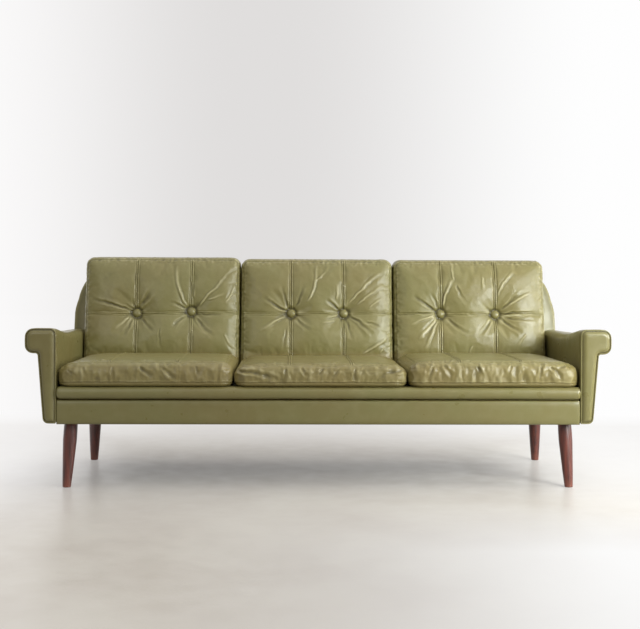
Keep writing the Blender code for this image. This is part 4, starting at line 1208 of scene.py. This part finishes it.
held, loose = [], []
for side, bag, low, high, half_h, buttons in backs:
    x, h, depth = kept_vectors(bag, "sewn_at").T
    inside = kept_vectors(bag, "rim_at")[:, 0]
    on_face = inside > 0
    hold = np.where(on_face, 0.03, 0.30 + 0.7 * ease_in(depth, 0.04, 0.09))
    hold = np.where(on_face & (inside < 0.020), 0.25, hold)
    for button_x, button_h in buttons:
        away = np.hypot(x - button_x, h - button_h)
        hold = np.where(on_face & (abs(x - button_x) < 0.006), np.maximum(hold, 0.12), hold)
        hold = np.where(on_face & (away < BUTTON_HALF), 1.0, hold)
    hold = np.where(on_face & (h < -half_h + 0.08), np.maximum(hold, 0.5), hold)
    held.append(hold)
    loose.append(np.zeros(len(hold)))
    start_uneven(bag, 0.016, hold < 0.3)
bags = [back[1] for back in backs]
settle(bags, held, (BACK_SLACK, BACK_SLACK), loose, BACK_PRESSURE, [BACK_SWELL] * 3)

for side, bag, low, high, half_h, buttons in backs:
    refine(bag)
    sewn = kept_vectors(bag, "sewn_at")
    x, h, depth = sewn.T
    inside = kept_vectors(bag, "rim_at")[:, 0]
    seed = BACK_SEED[side]
    on_face = inside > 0
    face = ease_in(inside, 0.002, 0.012)
    button_away = np.full(len(sewn), 9.0)
    pucker, seams = np.zeros(len(sewn)), np.zeros(len(sewn))
    for button_x, button_h in buttons:
        step = sewn[:, :2] - (button_x, button_h)
        away = np.hypot(*step.T)
        button_away = np.minimum(button_away, away)
        turn = np.arctan2(step[:, 1], step[:, 0])
        ray = np.stack([np.cos(turn), np.sin(turn), np.full(len(turn), button_x * 9)], 1)
        pucker += 0.0032 * ripple(ray, 0.42, seed) * ridge(away - 0.028, 0.018)
        pucker -= 0.0034 * ridge(away - 0.019, 0.0065)
        seams += seam_rise(abs(x - button_x))
    across = abs(h - buttons[0][1] - 0.0025 * np.sin(x * 9))
    seams += 0.7 * seam_rise(across * 1.2) * np.clip(button_away / 0.03, 0, 1)
    open_face = face * ease_in(button_away, 0.016, 0.030)
    seams *= open_face
    folds = [in_metres(fold, *buttons[number]) for number, *fold in BACK_FOLDS[side]]
    rise = seams + (pucker + fold_rise(sewn[:, :2], folds, seed)) * face
    rise += (0.0004 * crumple(sewn, 0.060, seed) + 0.0002 * crumple(sewn, 0.024, seed)) * open_face
    rise += edge_seam(inside - 0.010, 0.0016, 0.0016, 0.0010, 0.0040, 0.0020) * on_face
    rise += 0.0019 * ripple(sewn * (1, 1, 0.3), 0.010, seed) * ridge(inside - 0.012, 0.015)
    rise += 0.0006 * crumple(sewn, 0.050, seed + 4) * ~on_face * ease_in(-depth, -0.10, -0.07)
    # The folds' valleys are painted darker as shade and their ridges lighter as highlights, the seams less
    # so.
    press_in(bag, rise, rise - 0.6 * seams)

    points = points_of(bag)
    points[:, 0] = np.clip(points[:, 0], low.x - SIDE_SWELL, high.x + SIDE_SWELL)
    points[:, 2] = np.maximum(points[:, 2], low.z)
    points[:, 1] = np.minimum(points[:, 1], back_plane(points[:, 2]) - CUSHION_GAP)
    move_points(bag, points)
    finish_mesh(bag, 180)
    attach(bag, worn_leather, "olive_leather", f"back_cushion_{side}")


# Buttons
# Domed metal shells covered in the same leather, gathered tight behind, tied through the
# cushion with twine. Hands and backs have polished them.
BUTTON_SEGMENTS = 32
BUTTON_RINGS = 20
BUTTON_TALL = 0.0140
BUTTON_UNDER = 0.22
BUTTON_SUNK = 0.0075
BUTTON_PLEAT = 0.0005
BUTTON_PLEATS = 14

button_leather = leather("olive_leather_polished", 0.22, 0.00006, 0.0001, 0.4)
for name in sorted(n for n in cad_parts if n.startswith("button_")):
    low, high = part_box(name)
    centre = (low + high) / 2
    size = {"segments": BUTTON_SEGMENTS, "ring_count": BUTTON_RINGS, "radius": BUTTON_HALF}
    bpy.ops.mesh.primitive_uv_sphere_add(**size)
    button = name_piece(f"covered_{name}")
    points = points_of(button)
    reach = np.hypot(points[:, 0], points[:, 1]) / BUTTON_HALF
    turn = np.arctan2(points[:, 1], points[:, 0])
    dome = BUTTON_TALL * np.sqrt(np.clip(1 - reach ** 2.4, 0, 1))
    points[:, 2] = np.where(points[:, 2] >= -1e-6, dome, points[:, 2] * BUTTON_UNDER)
    gather = BUTTON_PLEAT * np.sin(turn * BUTTON_PLEATS) * np.clip(reach - 0.8, 0, 1) * 5
    points[:, :2] *= (1 - gather / BUTTON_HALF)[:, None]
    move_points(button, points)
    tilt = Matrix.Rotation(math.radians(90 - LEAN_DEGREES), 4, "X")
    foot = Vector((centre.x, high.y - BUTTON_SUNK, centre.z))
    button.data.transform(Matrix.Translation(foot) @ tilt)
    finish_mesh(button, 60)
    attach(button, button_leather, "button_leather", name)


# Floor, background, lamps and camera
# None of this belongs to the sofa: a pale polished floor that runs into a white background,
# soft lamps on the right, the left and the far right, and light all round, most from above.
FLOOR_PALE = "#CBC6BE"
FLOOR_MOTTLE = "#BFB8B0"
FLOOR_SIZE = 24
FLOOR_GAP = 0.0005
LESS_BOUNCE = 0.38
LESS_FRONT_GLOSS = 0.35
WALL_LEFT = "#FCFBFB"
WALL_MIDDLE = "#E0DEDD"
WALL_RIGHT = "#FEFEFE"
WALL_LEFT_SPAN = (-0.27, -0.04)
WALL_RIGHT_SPAN = (-0.01, 0.25)
FADE_BEHIND = (0.20, 1.70)
FADE_NEARER = (-1.5, 0.1)
# Painted light on the floor: beside the sofa it glows with the background's colour, lifting the sofa's shadow
# there, and on the right front it glows as a painted pool of light.
PAINTED_LIGHT_BESIDE = (0.60, 1.25, 0, 0.75)
PAINTED_LIGHT_RIGHT = (-0.45, 0.80, 0, 0.9)
FADE_IN_FRONT = (-0.6, -1.3)
FELT_WHITE = (1.0, 0.99, 0.97, 1)
FELT_LOW = 0.02
FELT_HIGH = 1.3
FELT_SIDE = 0.65
CAMERA_PLACE = (-0.1035, -4.688, 0.815)
CAMERA_YAW = -1.37
CAMERA_ROLL = -0.25
PHOTO_WIDTH = 640
PHOTO_HEIGHT = 629
FOCAL_PIXELS = 1230
HORIZON_ROW = 256.0


def wall_colour(tree, sideways):
    """The background's grey, by how far to the side it is seen: lit from the left and the right."""
    left, right = [
        add_node(tree, "MapRange", dict(enumerate((sideways, *span))), interpolation_type="SMOOTHSTEP")
        for span in (WALL_LEFT_SPAN, WALL_RIGHT_SPAN)
    ]
    return wash(tree, paint(WALL_LEFT), [(left, 0, 1, 1, WALL_MIDDLE), (right, 0, 1, 1, WALL_RIGHT)])


def seen_directly(tree, gloss=1.0):
    """1 for a ray from the camera or through glass, and up to 1 for a reflected one."""
    kinds = ("Camera", "Transmission", "Glossy")
    camera, glass, mirror = [add_node(tree, "LightPath", output=f"Is {kind} Ray") for kind in kinds]
    straight = add_node(tree, "Math", {0: camera, 1: glass}, operation="MAXIMUM")
    reflected = add_node(tree, "Math", {0: mirror, 1: gloss}, operation="MULTIPLY")
    return add_node(tree, "Math", {0: straight, 1: reflected}, operation="MAXIMUM")


bpy.ops.object.select_all(action="DESELECT")
bpy.ops.mesh.primitive_plane_add(size=FLOOR_SIZE, location=(0, 0, -FLOOR_GAP))
floor = name_piece("studio_floor")
polished, tree, shader, place = new_material("pale_polished_floor")
stain = add_node(tree, "TexNoise", {"Vector": place, "Scale": 2.2, "Detail": 5})
fine = add_node(tree, "TexNoise", {"Vector": place, "Scale": 14, "Detail": 4})
looked_at = seen_directly(tree)
cement = wash(tree, paint(FLOOR_PALE), [
    (stain, 0.35, 0.7, 1.0, FLOOR_MOTTLE),
    (looked_at, 1.0, 0.0, LESS_BOUNCE, "#000000"),
])
set_finish(tree, shader, cement, (fine, 0.3, 0.7, 0.28, 0.40), [])

floor_x, floor_y = [add_node(tree, "SeparateXYZ", {0: place}, axis) for axis in "XY"]
across = add_node(tree, "Math", {0: floor_x, 1: CAMERA_PLACE[0]}, operation="SUBTRACT")
ahead = add_node(tree, "Math", {0: floor_y, 1: CAMERA_PLACE[1]}, operation="SUBTRACT")
sightline = add_node(tree, "Math", {0: across, 1: ahead}, operation="DIVIDE")
level = add_node(tree, "MapRange", {0: looked_at, 3: 1 - LESS_BOUNCE})
glow = add_node(tree, "Emission", {"Color": wall_colour(tree, sightline), "Strength": level})
aside = add_node(tree, "Math", {0: floor_x}, operation="ABSOLUTE")
behind, nearer, beside = [
    add_node(tree, "MapRange", dict(enumerate((place_on_floor, *fade))), interpolation_type="SMOOTHSTEP")
    for place_on_floor, fade in ((floor_y, FADE_BEHIND), (floor_y, FADE_NEARER), (aside, PAINTED_LIGHT_BESIDE))
]
# A painted pool of light on the floor's right front.
painted_pool_right = add_node(tree, "MapRange", dict(enumerate((floor_x, *PAINTED_LIGHT_RIGHT))))
in_front = add_node(tree, "MapRange", dict(enumerate((floor_y, *FADE_IN_FRONT))))
for one, other in ((beside, nearer), (painted_pool_right, in_front)):
    washed = add_node(tree, "Math", {0: one, 1: other}, operation="MULTIPLY")
    behind = add_node(tree, "Math", {0: behind, 1: washed}, operation="MAXIMUM")
mixed = add_node(tree, "MixShader", {0: behind, 1: shader.outputs[0], 2: glow})
tree.links.new(mixed, tree.nodes["Material Output"].inputs["Surface"])
dress(floor, polished)

world = bpy.data.worlds.new("pale_background")
bpy.context.scene.world = world
world.use_nodes = True
tree = world.node_tree
tree.nodes.remove(tree.nodes["Background"])
towards = add_node(tree, "TexCoord", output="Generated")
aside, ahead, up = [add_node(tree, "SeparateXYZ", {0: towards}, axis) for axis in "XYZ"]
seen = add_node(tree, "Background", {"Color": wall_colour(tree, aside), "Strength": 1.0})
from_above = add_node(tree, "MapRange", {0: up, 1: -0.1, 2: 0.8, 3: FELT_LOW, 4: FELT_HIGH})
from_right = add_node(tree, "MapRange", {0: aside, 1: -1.0, 2: 1.0, 3: 1 - FELT_SIDE, 4: 1 + FELT_SIDE})
strength = add_node(tree, "Math", {0: from_above, 1: from_right}, operation="MULTIPLY")
felt = add_node(tree, "Background", {"Color": FELT_WHITE, "Strength": strength})
behind_sofa = add_node(tree, "MapRange", {0: ahead, 1: -0.3, 2: 0.5, 3: LESS_FRONT_GLOSS})
both = add_node(tree, "MixShader", {0: seen_directly(tree, behind_sofa), 1: felt, 2: seen})
tree.links.new(both, tree.nodes["World Output"].inputs["Surface"])


def add_lamp(name, place, target, width, watts, spread, colour):
    """A square soft lamp turned towards a point, its light kept within so many degrees."""
    lamp = bpy.data.lights.new(name, "AREA")
    lamp.size = width
    lamp.energy = watts
    lamp.spread = math.radians(spread)
    lamp.color = colour
    holder = bpy.data.objects.new(name, lamp)
    bpy.context.scene.collection.objects.link(holder)
    holder.location = place
    holder.rotation_euler = (Vector(target) - Vector(place)).to_track_quat("-Z", "Y").to_euler()


add_lamp("lamp_right", (2.2, -2.0, 1.2), (1.25, -0.3, 0.4), 1.2, 17, 75, (0.95, 1.0, 0.98))
add_lamp("lamp_left", (-1.7, -2.6, 1.6), (-0.8, 0.0, 0.5), 0.5, 2, 120, (0.98, 1.0, 1.0))
add_lamp("lamp_side", (3.2, -0.7, 1.0), (-0.6, 0.0, 0.5), 0.8, 5, 60, (0.98, 1.0, 0.98))

lens = bpy.data.cameras.new("photo_camera")
camera = bpy.data.objects.new("photo_camera", lens)
bpy.context.scene.collection.objects.link(camera)
lens.sensor_width = 36.0
lens.lens = lens.sensor_width * FOCAL_PIXELS / PHOTO_WIDTH
lens.shift_y = (HORIZON_ROW - PHOTO_HEIGHT / 2) / PHOTO_WIDTH
camera.location = CAMERA_PLACE
camera.rotation_euler = (math.radians(90), math.radians(CAMERA_ROLL), math.radians(CAMERA_YAW))
bpy.context.scene.camera = camera
bpy.context.scene.view_settings.view_transform = "Standard"
